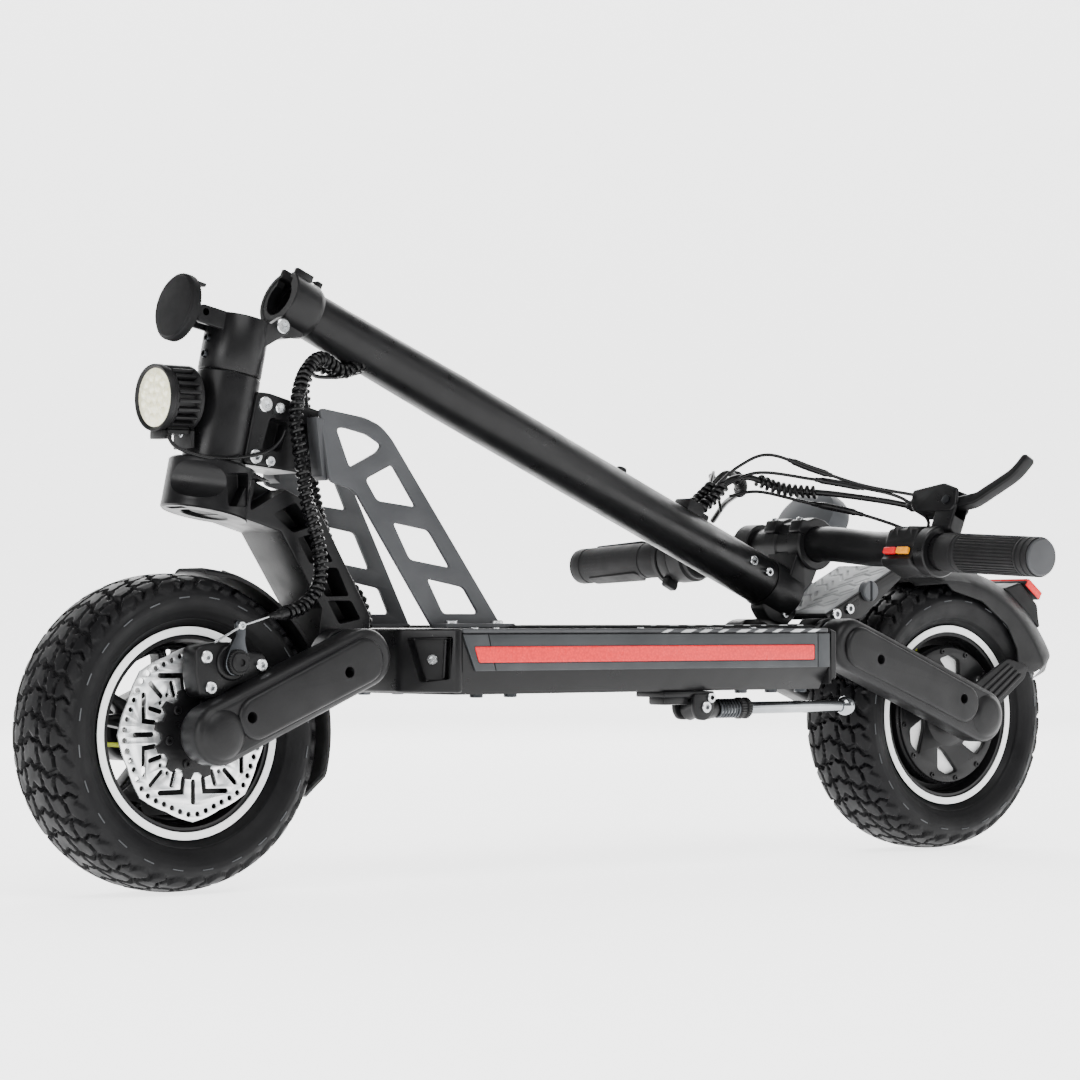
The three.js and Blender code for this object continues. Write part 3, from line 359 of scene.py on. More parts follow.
    def finish(self, name: str, place: Matrix, body: str, material: bpy.types.Material,
               replaces: Sequence[str] = (), slot: str = "", sharp: float = 32,
               bevel: float = 0.0) -> bpy.types.Object:
        """Makes the piece, puts it in place and lets it ride on its body.

        Args:
            name: the piece's name.
            place: from local millimetres to the frame.
            body: the CAD body it rides on.
            material: its finish.
            replaces: CAD nodes that it stands for.
            slot: not used.
            sharp: edges bent more than this many degrees stay crisp.
            bevel: extra rounding of crisp edges, in millimetres.

        Returns:
            The finished object.
        """
        bmesh.ops.transform(self.bm, matrix=place, verts=self.bm.verts)
        bmesh.ops.recalc_face_normals(self.bm, faces=self.bm.faces)
        mesh = bpy.data.meshes.new(name)
        self.bm.to_mesh(mesh)
        self.bm.free()
        mesh.materials.append(material)
        piece = bpy.data.objects.new(name, mesh)
        bpy.context.scene.collection.objects.link(piece)
        if bevel:
            modifier = piece.modifiers.new("rounding", "BEVEL")
            modifier.width, modifier.segments = bevel * MM, 2
            modifier.limit_method, modifier.angle_limit = "ANGLE", math.radians(40)
            bpy.context.view_layer.update()
            rounder = bpy.data.meshes.new_from_object(
                piece.evaluated_get(bpy.context.evaluated_depsgraph_get()))
            piece.modifiers.clear()
            piece.data = rounder
            bpy.data.meshes.remove(mesh)
            mesh = rounder
            mesh.name = name
        mesh.shade_smooth()
        mesh.set_sharp_from_angle(angle=math.radians(sharp))
        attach(piece, body)
        if replaces:
            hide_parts(*replaces)
        log.info("%s rides on %s", name, body)
        return piece


# ---------------------------------------------------------------- finishes


def linear(code: str) -> tuple[float, float, float, float]:
    """Turns an sRGB hex value into a linear colour."""
    parts = [int(code[i:i + 2], 16) / 255 for i in (1, 3, 5)]
    bent = [c / 12.92 if c <= 0.04045 else ((c + 0.055) / 1.055) ** 2.4 for c in parts]
    return (*bent, 1.0)


def add_node(
    tree: bpy.types.NodeTree, kind: str, inputs: dict | None = None, **settings: object
) -> bpy.types.Node:
    """Adds a node with its settings, values and links.

    Args:
        tree: the node tree it goes into.
        kind: the node's type name.
        inputs: values or sockets by input name or number.
        settings: the node's own properties.

    Returns:
        The node.
    """
    node = tree.nodes.new(kind)
    for key, value in settings.items():
        setattr(node, key, value)
    for key, value in (inputs or {}).items():
        if isinstance(value, bpy.types.NodeSocket):
            tree.links.new(value, node.inputs[key])
        else:
            node.inputs[key].default_value = value
    return node


def ramp(
    tree: bpy.types.NodeTree, factor: bpy.types.NodeSocket, stops: Sequence[tuple[float, str]]
) -> bpy.types.NodeSocket:
    """A colour ramp of sRGB stops over a factor; returns its colour."""
    node = add_node(tree, "ShaderNodeValToRGB", {"Fac": factor})
    elements = node.color_ramp.elements
    while len(elements) < len(stops):
        elements.new(0.5)
    for element, (spot, code) in zip(elements, stops):
        element.position, element.color = spot, linear(code)
    return node.outputs["Color"]


@dataclass(frozen=True)
class Finish:
    """A surface finish: a base colour that drifts a little, a grain and a roughness.

    Args:
        name: the material's name.
        colour: middle colour, sRGB.
        shade: the darker colour it drifts to.
        roughness: middle roughness.
        spread: how far the roughness drifts either way.
        metallic: 1 for bare metal.
        grain: size of the grain in millimetres.
        depth: height of the grain in millimetres.
        stretch: how many times longer the grain is along X than across it.
        coat: weight of a clear coat.
        glow: strength of light it gives off.
        specular: strength of its mirror reflection, 0.5 as most solids.
        ior: index of refraction of a plastic or glass.
    """

    name: str
    colour: str
    shade: str
    roughness: float
    spread: float = 0.08
    metallic: float = 0.0
    grain: float = 0.5
    depth: float = 0.03
    stretch: float = 1.0
    coat: float = 0.0
    glow: float = 0.0
    specular: float = 0.22
    ior: float = 1.5

    def build(self) -> bpy.types.Material:
        """Makes the material."""
        material = bpy.data.materials.new(self.name)
        material.use_nodes = True
        tree = material.node_tree
        tree.nodes.clear()
        where = add_node(tree, "ShaderNodeTexCoord").outputs["Object"]
        long = add_node(tree, "ShaderNodeMapping", {"Vector": where, "Scale": (1 / self.stretch, 1, 1)})
        drift = add_node(tree, "ShaderNodeTexNoise", {"Vector": where, "Scale": 18.0, "Detail": 3.0})
        fine = add_node(tree, "ShaderNodeTexNoise", {"Vector": long.outputs["Vector"],
            "Scale": 1 / (self.grain * MM), "Detail": 2.0})
        smear = add_node(tree, "ShaderNodeTexNoise", {"Vector": where, "Scale": 55.0, "Detail": 4.0})
        rough = add_node(tree, "ShaderNodeMapRange", {"Value": smear.outputs["Fac"], "From Min": 0.3,
            "From Max": 0.7, "To Min": self.roughness - self.spread,
            "To Max": self.roughness + self.spread})
        bump = add_node(tree, "ShaderNodeBump",
            {"Height": fine.outputs["Fac"], "Distance": self.depth * MM, "Strength": 0.6})
        shader = add_node(tree, "ShaderNodeBsdfPrincipled",
            {"Base Color": self.pattern(tree, where, drift.outputs["Fac"]),
            "Roughness": rough.outputs["Result"], "Metallic": self.metallic,
            "Normal": bump.outputs["Normal"]})
        if not self.metallic:
            shader.inputs["IOR"].default_value = self.ior
            shader.inputs["Specular IOR Level"].default_value = self.specular
        shader.inputs["Coat Weight"].default_value = self.coat
        if self.glow:
            shader.inputs["Emission Color"].default_value = linear(self.colour)
            shader.inputs["Emission Strength"].default_value = self.glow
        add_node(tree, "ShaderNodeOutputMaterial", {"Surface": shader.outputs["BSDF"]})
        return material

    def pattern(self, tree: bpy.types.NodeTree, where: bpy.types.NodeSocket,
                drift: bpy.types.NodeSocket) -> bpy.types.NodeSocket:
        """The base colour: a slow drift between the two colours."""
        return ramp(tree, drift, [(0.35, self.shade), (0.65, self.colour)])


@dataclass(frozen=True)
class PrismFinish(Finish):
    """A moulded reflector or lens: small prisms seen through the face.

    Args:
        pitch: spacing of the prisms in millimetres.
    """

    pitch: float = 2.4

    def pattern(self, tree: bpy.types.NodeTree, where: bpy.types.NodeSocket,
                drift: bpy.types.NodeSocket) -> bpy.types.NodeSocket:
        """Cells that are lighter in the middle of each prism: a moulded prism pattern with a painted glint in
        the middle of each cell.
        """
        cells = add_node(tree, "ShaderNodeTexVoronoi", {"Vector": where, "Scale": 1 / (self.pitch * MM)})
        return ramp(tree, cells.outputs["Distance"], [(0.0, self.colour), (0.75, self.shade)])


@dataclass(frozen=True)
class RingFinish(Finish):
    """Metal or rubber turned or ground around the Y axis of a wheel.

    Args:
        centre: the wheel's axle in the frame.
        pitch: spacing of the turning marks in millimetres, coarser than real ones so that they show.
    """

    centre: Point3 = (0, 0, 0)
    pitch: float = 1.6

    def pattern(self, tree: bpy.types.NodeTree, where: bpy.types.NodeSocket,
                drift: bpy.types.NodeSocket) -> bpy.types.NodeSocket:
        """Rings of slightly different shade."""
        moved = add_node(tree, "ShaderNodeMapping",
            {"Vector": where, "Location": tuple((-c for c in self.centre)), "Scale": (1, 0, 1)})
        rings = add_node(tree, "ShaderNodeTexWave", {"Vector": moved.outputs["Vector"],
            "Scale": 1 / (self.pitch * MM) / 20, "Distortion": 1.5, "Detail": 2.0}, wave_type="RINGS",
            rings_direction="SPHERICAL")
        return ramp(tree, rings.outputs["Fac"], [(0.2, self.shade), (0.8, self.colour)])


class Finishes:
    """Every material of the scooter, built once."""

    def __init__(self) -> None:
        """Builds the materials."""
        # Powder coated aluminium: satin black with a faint orange peel
        self.coat = Finish("powder_coated_aluminium", "#121213", "#0c0c0d", 0.34, grain=0.9, depth=0.05,
            specular=0.2).build()
        # Sand cast arms under the same coat: broader, softer skin
        self.cast = Finish("coated_sand_casting", "#151516", "#0e0e0f", 0.4, grain=1.6, depth=0.12).build()
        # Anodised extrusion: fine lines along its length
        self.grey = Finish("anodised_extrusion", "#393b3d", "#2f3133", 0.38, metallic=0.55, grain=0.35,
            depth=0.02, stretch=30).build()
        # Painted sheet: flat grey with a soft sheen
        self.sheet = Finish("painted_sheet_steel", "#414244", "#37383a", 0.46, grain=0.7, depth=0.03).build()
        # Moulded ABS: dull, spark eroded grain
        self.plastic = Finish("moulded_abs", "#101011", "#0b0b0c", 0.48, grain=0.45, depth=0.05).build()
        # Glass filled nylon: greyer and smoother
        self.nylon = Finish("grey_nylon", "#4e5053", "#404244", 0.42, grain=0.6, depth=0.04).build()
        # Natural rubber: dull black, dusty in the low places
        self.tyre = Finish("vulcanised_rubber", "#0f0f10", "#08080a", 0.5, spread=0.12, grain=0.8,
            depth=0.08, specular=0.16).build()
        self.grip = Finish("soft_grip_rubber", "#171718", "#101011", 0.62, grain=0.5, depth=0.06).build()
        self.mat = Finish("ribbed_mat_rubber", "#121213", "#0b0b0c", 0.7, grain=0.9, depth=0.1).build()
        # Grey thermoplastic rubber of the foot rest, paler where it is worn
        self.pale_mat = Finish("grey_mat_rubber", "#a9abac", "#8b8d8e", 0.55, grain=0.7, depth=0.06).build()
        self.pale_print = Finish("pale_inlay", "#c9cbcc", "#a6a8a9", 0.5, grain=0.8, depth=0.03).build()
        # PVC sleeving: glossier than the rubber around it
        self.sleeve = Finish("pvc_sleeving", "#0b0b0c", "#070708", 0.28, grain=0.6, depth=0.02).build()
        self.zinc = Finish("zinc_plated_steel", "#d6d8da", "#a9abad", 0.24, metallic=1.0, grain=0.3,
            depth=0.01).build()
        self.chrome = Finish("chrome_plated_steel", "#b9bcbf", "#86898c", 0.12, spread=0.04, metallic=1.0,
            grain=1.2, depth=0.01).build()
        self.dark_steel = Finish("blackened_steel", "#47494c", "#2f3133", 0.34, metallic=1.0, grain=0.4,
            depth=0.015).build()
        self.gloss = Finish("tinted_glass", "#0c0d0f", "#08090a", 0.08, spread=0.03, grain=2.0,
            depth=0.004, coat=1.0, specular=0.5).build()
        # Paler rubber that shows where a tyre's moulded marks are rubbed
        self.wear = Finish("rubbed_rubber", "#4c4e50", "#3a3c3e", 0.55, grain=0.8, depth=0.05).build()
        # Seamless paper
        self.floor = Finish("white_seamless_paper", "#ffffff", "#fbfbfb", 0.9, grain=2.0, depth=0.0,
            glow=2.4).build()
        # Near-black coat of painted shade, worn by the latch knob to make it darker
        self.dark = Finish("recess_shadow_coat", "#08080a", "#050506", 0.7, grain=0.8, depth=0.02).build()
        # Retroreflective film on the wheels: near white with a faint cell pattern, and a painted glow: it
        # gives off light though it is no lamp
        self.white = PrismFinish("retroreflective_film", "#f4f5f4", "#e2e4e4", 0.3, grain=0.9, depth=0.01,
            glow=0.22, pitch=1.5).build()
        # Red reflector acrylic with a painted glow: the deck reflectors give off light though they are no
        # lamp; the tail light lens shares it
        self.red = PrismFinish("red_reflector_acrylic", "#e02328", "#bb171d", 0.3, grain=1.2, depth=0.02,
            glow=0.3, coat=0.1, pitch=2.2).build()
        # Button caps with a painted glow: they give off light though they are no lamps
        self.button_red = Finish("red_button_gloss", "#e0252b", "#b5161c", 0.22, grain=1.0, depth=0.01,
            glow=0.15).build()
        self.button_amber = Finish("amber_button_gloss", "#f0a21e", "#cf7d10", 0.22, grain=1.0, depth=0.01,
            glow=0.15).build()
        self.lens = PrismFinish("moulded_lamp_lens", "#fbf8e2", "#d9d5ac", 0.12, grain=1.0, depth=0.02,
            glow=0.35, coat=1.0, pitch=3.2).build()
        self.valve = Finish("green_valve_cap", "#cfd94a", "#a9b334", 0.4, grain=0.6, depth=0.02).build()
        axle = tuple(PLACES.front.translation)
        # Ground stainless disc: bright, with grinding rings
        self.disc = RingFinish("ground_stainless_disc", "#f2f3f4", "#cfd2d4", 0.3, spread=0.05,
            metallic=0.85, grain=0.5, depth=0.01, centre=axle).build()
        self.battery = Finish("pvc_battery_wrap", "#2f5f9a", "#244b7d", 0.3, grain=0.8, depth=0.02).build()


FINISH = Finishes()


# ---------------------------------------------------------------- sub-assemblies


class Side(Enum):
    """A side of the scooter, with the sign of its Y."""

    LEFT = -1
    RIGHT = 1

    def span(self, near: float, far: float) -> Point2:
        """Two distances from the middle, as a rising pair of Y on this side."""
        low, high = sorted((self.value * near, self.value * far))
        return (low, high)

    @property
    def word(self) -> str:
        """The side's name in piece names."""
        return self.name.lower()


# Turns that make a screw face backwards, forwards, upwards or downwards instead of across
REARWARD, FORWARD = (Matrix.Rotation(turn * math.pi / 2, 4, "Z") for turn in (1, -1))
DOWNWARD, UPWARD = (Matrix.Rotation(turn * math.pi / 2, 4, "X") for turn in (1, -1))


def joint_point(name: str, place: Matrix) -> Vector:
    """Where a joint is, in a place's local millimetres."""
    found = next(joint for joint in frame["joints"] if joint["name"] == name)
    return place.inverted() @ Vector(found["pos_m"])


def polar(radius: float, degrees: float, centre: Point2 = (0, 0)) -> Point2:
    """A point at a radius and an angle around a centre."""
    a = math.radians(degrees)
    return (centre[0] + radius * math.cos(a), centre[1] + radius * math.sin(a))


def dress_node(name: str, material: bpy.types.Material) -> None:
    """Gives a carried-over CAD node its finish."""
    node = frame["nodes"][name]
    node.data.materials.clear()
    node.data.materials.append(material)
    log.info("%s is dressed", name)


def screw(shape: Shape, at: Point3, radius: float, height: float, place: Matrix | None = None,
          sign: int = -1) -> Shape:
    """Adds the head of a socket screw standing out along Y, with its hexagonal recess.

    Args:
        shape: the shape it is added to.
        at: middle of its seat.
        radius: radius of the head.
        height: how far it stands out.
        place: a matrix that turns it away from Y.
        sign: which way along Y it faces.

    Returns:
        The shape.
    """
    depth = height * 0.92
    hexagon = [polar(radius * 0.54, 60 * k + 15) for k in range(6)]
    rings: list[list[Vector]] = []
    sides = 24
    for reach, run in ((radius, 0), (radius, height * 0.75), (radius * 0.86, height),
                       (radius * 0.58, height)):
        rings.append([Vector((reach * math.cos(a), sign * run, reach * math.sin(a))) for a in turns(sides)])
    flat = [Vector(hexagon[k // 4]).lerp(Vector(hexagon[(k // 4 + 1) % 6]), k % 4 / 4)
        for k in range(sides)]
    for run in (height, height - depth):
        rings.append([Vector((p.x, sign * run, p.y)) for p in flat])
    head = Shape().grid(rings)
    turn = Matrix.Identity(4) if place is None else place
    return shape.absorb(head, Matrix.Translation(at) @ turn)


@dataclass
class Tyre:
    """An off road tyre with real tread blocks.

    Args:
        name: which wheel it is on.
        place: the wheel's place.
        body: the wheel's body.
    """

    name: str
    place: Matrix
    body: str
    crown: float = 123.4
    block_height: float = 3.5
    pitches: int = 20
    steps: int = 38
    outline: tuple[Point2, ...] = ((76.6, 20.0), (76.6, 27.0), (80.0, 27.6), (83.6, 27.6), (84.8, 28.4),
        (86.0, 30.6), (88.0, 32.2), (90.2, 34.6), (91.0, 36.6), (92.4, 37.2), (94.0, 38.0), (97.0, 39.8),
        (101.0, 41.4), (105.0, 42.3), (109.0, 42.2), (112.6, 40.4), (115.4, 37.2), (117.9, 33.0),
        (120.0, 27.8), (121.6, 21.6), (122.7, 14.6), (123.2, 7.4), (123.4, 0.0))
    grooves: tuple[tuple[float, tuple[Point2, ...]],
        ...] = ((1.6, ((-1.2, 0.0), (4.8, 5.0), (1.8, 12.0), (10.8, 19.0), (7.2, 28.0), (17.4, 36.0),
        (14.4, 45.0), (19.2, 58.0))),
        (1.0, ((18.2, 0.0), (22.8, 6.0), (19.8, 11.5), (29.4, 17.5), (27.0, 24.0))),
        (1.2, ((1.8, 12.0), (10.2, 10.0), (19.8, 11.5), (28.8, 9.5), (40.6, 12.0))),
        (1.0, ((7.2, 28.0), (18.0, 23.0), (27.0, 24.0), (36.0, 27.5), (46.0, 28.0))),
        (0.8, ((29.4, 28.0), (26.4, 34.0), (34.8, 41.0), (32.4, 58.0))))

    def build(self) -> None:
        """Builds the tyre as one skin whose height follows the tread."""
        half = [Vector(p) for p in self.outline]
        fine: list[Vector] = []
        for a, b in zip(half, half[1:]):
            count = max(1, round((b - a).length / 1.25))
            fine.extend(a.lerp(b, k / count) for k in range(count))
        fine.append(half[-1])
        length = [0.0]
        for a, b in zip(reversed(fine), list(reversed(fine))[1:]):
            length.append(length[-1] + (b - a).length)
        arcs = list(reversed(length))
        pitch = 2 * math.pi * self.crown / self.pitches
        grid_u = np.array([pitch * k / self.steps for k in range(self.steps)])
        heights = np.zeros((len(fine), self.steps))
        for row, arc_length in enumerate(arcs):
            heights[row] = self._height(grid_u, arc_length, pitch)
        shift = self.steps // 2
        rows: list[list[Vector]] = []
        total = self.pitches * self.steps
        sides = [(fine, 1, 0, range(len(fine))), (fine, -1, shift, range(len(fine) - 2, -1, -1))]
        for points, sign, offset, order in sides:
            for row in order:
                point = points[row]
                ahead = points[min(row + 1, len(points) - 1)]
                behind = points[max(row - 1, 0)]
                tangent = (ahead - behind).normalized()
                out = Vector((-tangent.y, tangent.x)) if row < len(points) - 1 else Vector((1, 0))
                if out.x < 0 and row > 4:
                    out = -out
                ring = []
                for k in range(total):
                    lift = float(heights[row][(k + offset) % self.steps])
                    a = 2 * math.pi * k / total
                    reach = min(point.x + out.x * lift, self.crown + self.block_height)
                    run = point.y + abs(out.y) * lift
                    ring.append(Vector((reach * math.cos(a), sign * min(run, 43.8), reach * math.sin(a))))
                rows.append(ring)
        radius = 112.0
        for run in (-34.0, 34.0):
            rows.append([Vector((radius * math.cos(a), run, radius * math.sin(a))) for a in turns(total)])
        shape = Shape()
        verts = [[shape.bm.verts.new(p) for p in ring] for ring in rows]
        verts.append(verts[0])
        for low, high in zip(verts, verts[1:]):
            for k in range(total):
                n = (k + 1) % total
                shape.bm.faces.new((low[k], low[n], high[n], high[k]))
        shape.finish(f"{self.name}_tyre_tread", self.place, self.body, FINISH.tyre, [f"{self.name}_tyre"],
            sharp=50)

    def _height(self, across: np.ndarray, arc_length: float, pitch: float) -> np.ndarray:
        """Height of the tread over one pitch at a distance from the middle of the crown."""
        total = np.ones(len(across))
        for half, line in self.grooves:
            for turn in (-pitch, 0.0, pitch):
                gap = self._distance(line, across + turn, arc_length)
                total = np.minimum(total, np.clip((gap - half) / 0.5, 0, 1))
        edge = 35.5 + 6.5 * np.abs(np.sin(2 * math.pi * (across - 16.5) / pitch))
        total = np.minimum(total, np.clip((edge - arc_length) / 0.9, 0, 1))
        return total * self.block_height * min(1.0, max(0.3, (54.0 - arc_length) / 20.0))

    @staticmethod
    def _distance(outline: Sequence[Point2], across: np.ndarray, up: float) -> np.ndarray:
        """Distance to a line of points."""
        best = np.full(len(across), 1e9)
        for (x0, y0), (x1, y1) in zip(outline, outline[1:]):
            dx, dy = x1 - x0, y1 - y0
            t = np.clip(((across - x0) * dx + (up - y0) * dy) / (dx * dx + dy * dy), 0, 1)
            best = np.minimum(best, np.hypot(across - x0 - t * dx, up - y0 - t * dy))
        return best


@dataclass
class SidewallMarks:
    """Short pale dashes moulded around the side of a tyre."""

    name: str
    place: Matrix
    body: str
    count: int = 24
    radius: float = 107.5
    length_degrees: float = 5.2

    def build(self) -> None:
        """Builds the dashes on both sides."""
        shape = Shape()
        for side in Side:
            for k in range(self.count):
                middle = 360 * k / self.count + 6
                low = arc((0, 0), self.radius, middle - self.length_degrees / 2,
                    middle + self.length_degrees / 2, 4)
                high = arc((0, 0), self.radius + 0.9, middle - self.length_degrees / 2,
                    middle + self.length_degrees / 2, 4)
                run = side.span(41.6, 42.9)
                shape.plate([*low, *reversed(high)], run, bevel=0.3, steps=1)
        shape.finish(f"{self.name}_sidewall_marks", self.place, self.body, FINISH.wear)


@dataclass
class RimRing:
    """The barrel of a wheel with its lips, white reflective rings and valve."""

    name: str
    place: Matrix
    body: str
    lip: float = 84.4
    ring_inner: float = 78.2
    face: float = 30.6
    valve_angle: float = 186.0

    def build(self, into: Shape) -> None:
        """Adds the barrel to a wheel's casting and builds the pieces on it.

        Args:
            into: the casting of the wheel.
        """
        face = self.face
        into.lathe([(84.0, -face + 1), (84.0, -face - 0.3), (self.ring_inner, -face - 0.3),
            (76.8, -face + 0.8), (74.6, -face + 0.6), (73.8, -face + 2.6), (73.0, -face + 9),
            (71.4, -face + 11), (70.6, -face + 19), (70.0, 0), (70.6, face - 19), (71.4, face - 11),
            (73.0, face - 9), (73.8, face - 2.6), (74.6, face - 0.6), (76.8, face - 0.8),
            (self.ring_inner, face + 0.3), (84.0, face + 0.3), (84.0, face - 1), (75.6, face - 3),
            (75.2, 0), (75.6, 3 - face)], Axis.Y, sides=96, loop=True)
        ring = Shape()
        for side in Side:
            near, far = side.value * (face + 0.2), side.value * (face + 1.0)
            ring.lathe([(self.lip, near), (self.lip, far - side.value * 0.3), (self.lip - 0.4, far),
                (self.ring_inner + 0.4, far), (self.ring_inner, far - side.value * 0.3),
                (self.ring_inner, near)], Axis.Y, sides=128, loop=True)
        ring.finish(f"{self.name}_reflective_rings", self.place, self.body, FINISH.white)
        valve = Shape()
        foot = polar(71, self.valve_angle)
        tip = polar(50, self.valve_angle + 4)
        route = smooth_route([(foot[0], -12, foot[1]),
            ((foot[0] + tip[0]) / 2, -16, (foot[1] + tip[1]) / 2), (tip[0], -22, tip[1])], 2)
        valve.tube(route, lambda t: 2.4 if t < 0.25 else 1.9, 12)
        valve.finish(f"{self.name}_valve", self.place, self.body, FINISH.valve)


@dataclass
class FrontWheel:
    """The cast front wheel with its disc."""

    place: Matrix = field(default_factory=lambda: PLACES.front)
    body: str = "front_wheel"
    spokes: int = 5
    hub: float = 25.0
    disc_plane: float = 37.0
    disc_thickness: float = 2.0
    disc_radius: float = 70.0

    def build(self) -> None:
        """Builds the tyre, the casting and the disc."""
        Tyre("front", self.place, self.body).build()
        SidewallMarks("front", self.place, self.body).build()
        self.casting()
        self.disc()

    def casting(self) -> None:
        """Builds the spoked casting, each spoke forked in two towards the rim."""
        shape = Shape()
        RimRing("front", self.place, self.body).build(shape)
        windows = []
        for k in range(self.spokes):
            middle = 360 * k / self.spokes + 17
            windows.append(rounded([polar(34, middle + 17), polar(66.5, middle + 11.5),
                polar(66.5, middle + 36), polar(66.5, middle + 60.5), polar(34, middle + 55),
                polar(31, middle + 36)], 7))
            windows.append(rounded([polar(47, middle), polar(66.5, middle - 6), polar(66.5, middle + 6)], 3))
        shape.plate(arc((0, 0), 72, 0, 354, 59), (-9, 9), bevel=3.5, holes=windows, steps=3)
        shape.lathe([(7.4, -35.4), (self.hub - 2, -35.4), (self.hub, -33.4), (self.hub, -22),
            (self.hub + 6, -12), (self.hub + 9, 0), (self.hub + 6, 12), (self.hub, 20), (self.hub, 31),
            (self.hub - 2, 33), (7.4, 33)], Axis.Y, loop=True)
        shape.finish("front_wheel_casting", self.place, self.body, FINISH.coat, ["front_rim"],
            slot="cast_wheel")

    def disc(self) -> None:
        """Builds the disc with its petal edge, holes and slots, and the carrier in front of it."""
        radius = self.disc_radius

        def edge(angle: float) -> float:
            inside = ((angle + 22.5) % 45) - 22.5
            return radius - 4.2 * (abs(inside) / 22.5) ** 0.75

        outline = [polar(edge(1.5 * k), 1.5 * k) for k in range(240)]
        holes = [arc(polar(edge(7.5 * k + 3.75) - 5.2, 7.5 * k + 3.75), 2.2, 0, 324, 9) for k in range(48)]
        for quarter in range(4):
            for sign in (-1, 1):
                def at(r: float, a: float) -> Point2:
                    return polar(r, 90 * quarter + sign * a)

                holes.append(self._slot([at(37, 14.5), at(47, 13), at(55.5, 34)], 2.0))
                holes.append(self._slot([at(35, 30), at(45, 27)], 1.9))
                holes.append(arc(at(39, 38.5), 1.8, 0, 324, 9))
            holes.append(self._slot([polar(38, 90 * quarter), polar(54, 90 * quarter)], 2.0))
            holes.append(self._slot([polar(42, 90 * quarter + 45), polar(56, 90 * quarter + 45)], 2.0))
        half = self.disc_thickness / 2
        shape = Shape().plate(outline, (-self.disc_plane - half, -self.disc_plane + half), bevel=0.35,
            steps=1, holes=[arc((0, 0), 30, 0, 355, 50), *holes])
        shape.finish("brake_disc_rotor", self.place, self.body, FINISH.disc, ["brake_disc"])
        carrier = Shape()
        star = [polar(36.5 if (k // 3) % 2 else 31.0, 5 * k) for k in range(72)]
        carrier.plate(star, (-self.disc_plane - 3.2, -self.disc_plane + 1.2), bevel=0.8,
            holes=[arc((0, 0), 10.5, 0, 350, 35)])
        for k in range(6):
            a, b = polar(25, 60 * k + 12)
            screw(carrier, (a, -self.disc_plane - 3.2, b), 3.4, 2.0)
        carrier.finish("brake_disc_carrier", self.place, self.body, FINISH.coat)

    @staticmethod
    def _slot(points: Sequence[Point2], half: float) -> list[Point2]:
        """The outline of a slot along a bent line."""
        line = [Vector(p) for p in points]
        left: list[Point2] = []
        right: list[Point2] = []
        for i, spot in enumerate(line):
            back = (spot - line[i - 1]).normalized() if i else (line[1] - spot).normalized()
            ahead = (line[i + 1] - spot).normalized() if i < len(line) - 1 else back
            way = (back + ahead).normalized()
            side = Vector((-way.y, way.x)) * half / max(0.5, way.dot(back))
            left.append(tuple(spot + side))
            right.append(tuple(spot - side))
        start, end = line[0], line[-1]
        way = math.degrees(math.atan2(*(line[-1] - line[-2]).yx))
        first = math.degrees(math.atan2(*(line[1] - line[0]).yx))
        cap = arc(tuple(end), half, way + 90, way - 90, 6)
        tail = arc(tuple(start), half, first - 90, first - 270, 6)
        return [*left[:-1], *cap, *reversed(right[1:-1]), *tail]


@dataclass
class MotorWheel:
    """The rear wheel with its hub motor."""

    place: Matrix = field(default_factory=lambda: PLACES.rear)
    body: str = "rear_wheel"
    cover: float = 64.0
    blades: int = 6

    def build(self) -> None:
        """Builds the tyre, the shell and the motor's covers."""
        Tyre("rear", self.place, self.body).build()
        SidewallMarks("rear", self.place, self.body).build()
        shape = Shape()
        RimRing("rear", self.place, self.body, valve_angle=112.0).build(shape)
        shape.lathe([(72, -13), (66, -15), (65.4, -27), (64, -29), (64, 29), (65.4, 27), (66, 15),
            (72, 13)], Axis.Y, sides=96, loop=True)
        for side in Side:
            windows = []
            for k in range(self.blades):
                start = 360 * k / self.blades
                windows.append(
                    rounded([polar(33, start + 4), polar(53, start + 14), polar(56.5, start + 28),
                    polar(54, start + 42), polar(35, start + 20)], 3))
            low, high = side.span(27.0, 32.4)
            shape.plate(arc((0, 0), self.cover, 0, 355, 71), (low, high), bevel=1.4, holes=windows)
            run = side.value
            shape.lathe([(9, run * 32), (15, run * 35.6), (24, run * 35.2), (27, run * 33.6),
                (30, run * 32.2), (30, run * 28), (9, run * 28)], Axis.Y, loop=True)
            for k in range(12):
                a, b = polar(60.5, 30 * k + 8)
                screw(shape, (a, run * 32.2, b), 2.6, 1.6, sign=side.value)
        shape.finish("motor_wheel_shell", self.place, self.body, FINISH.coat, ["motor_hub"],
            slot="cast_wheel")
        pale = Shape()
        for side in Side:
            run = side.value
            pale.lathe([(31, run * 26.2), (58, run * 26.2), (58, run * 25.2), (31, run * 25.2)], Axis.Y,
                sides=96, loop=True)
        pale.finish("motor_cover_inlay", self.place, self.body, FINISH.white)


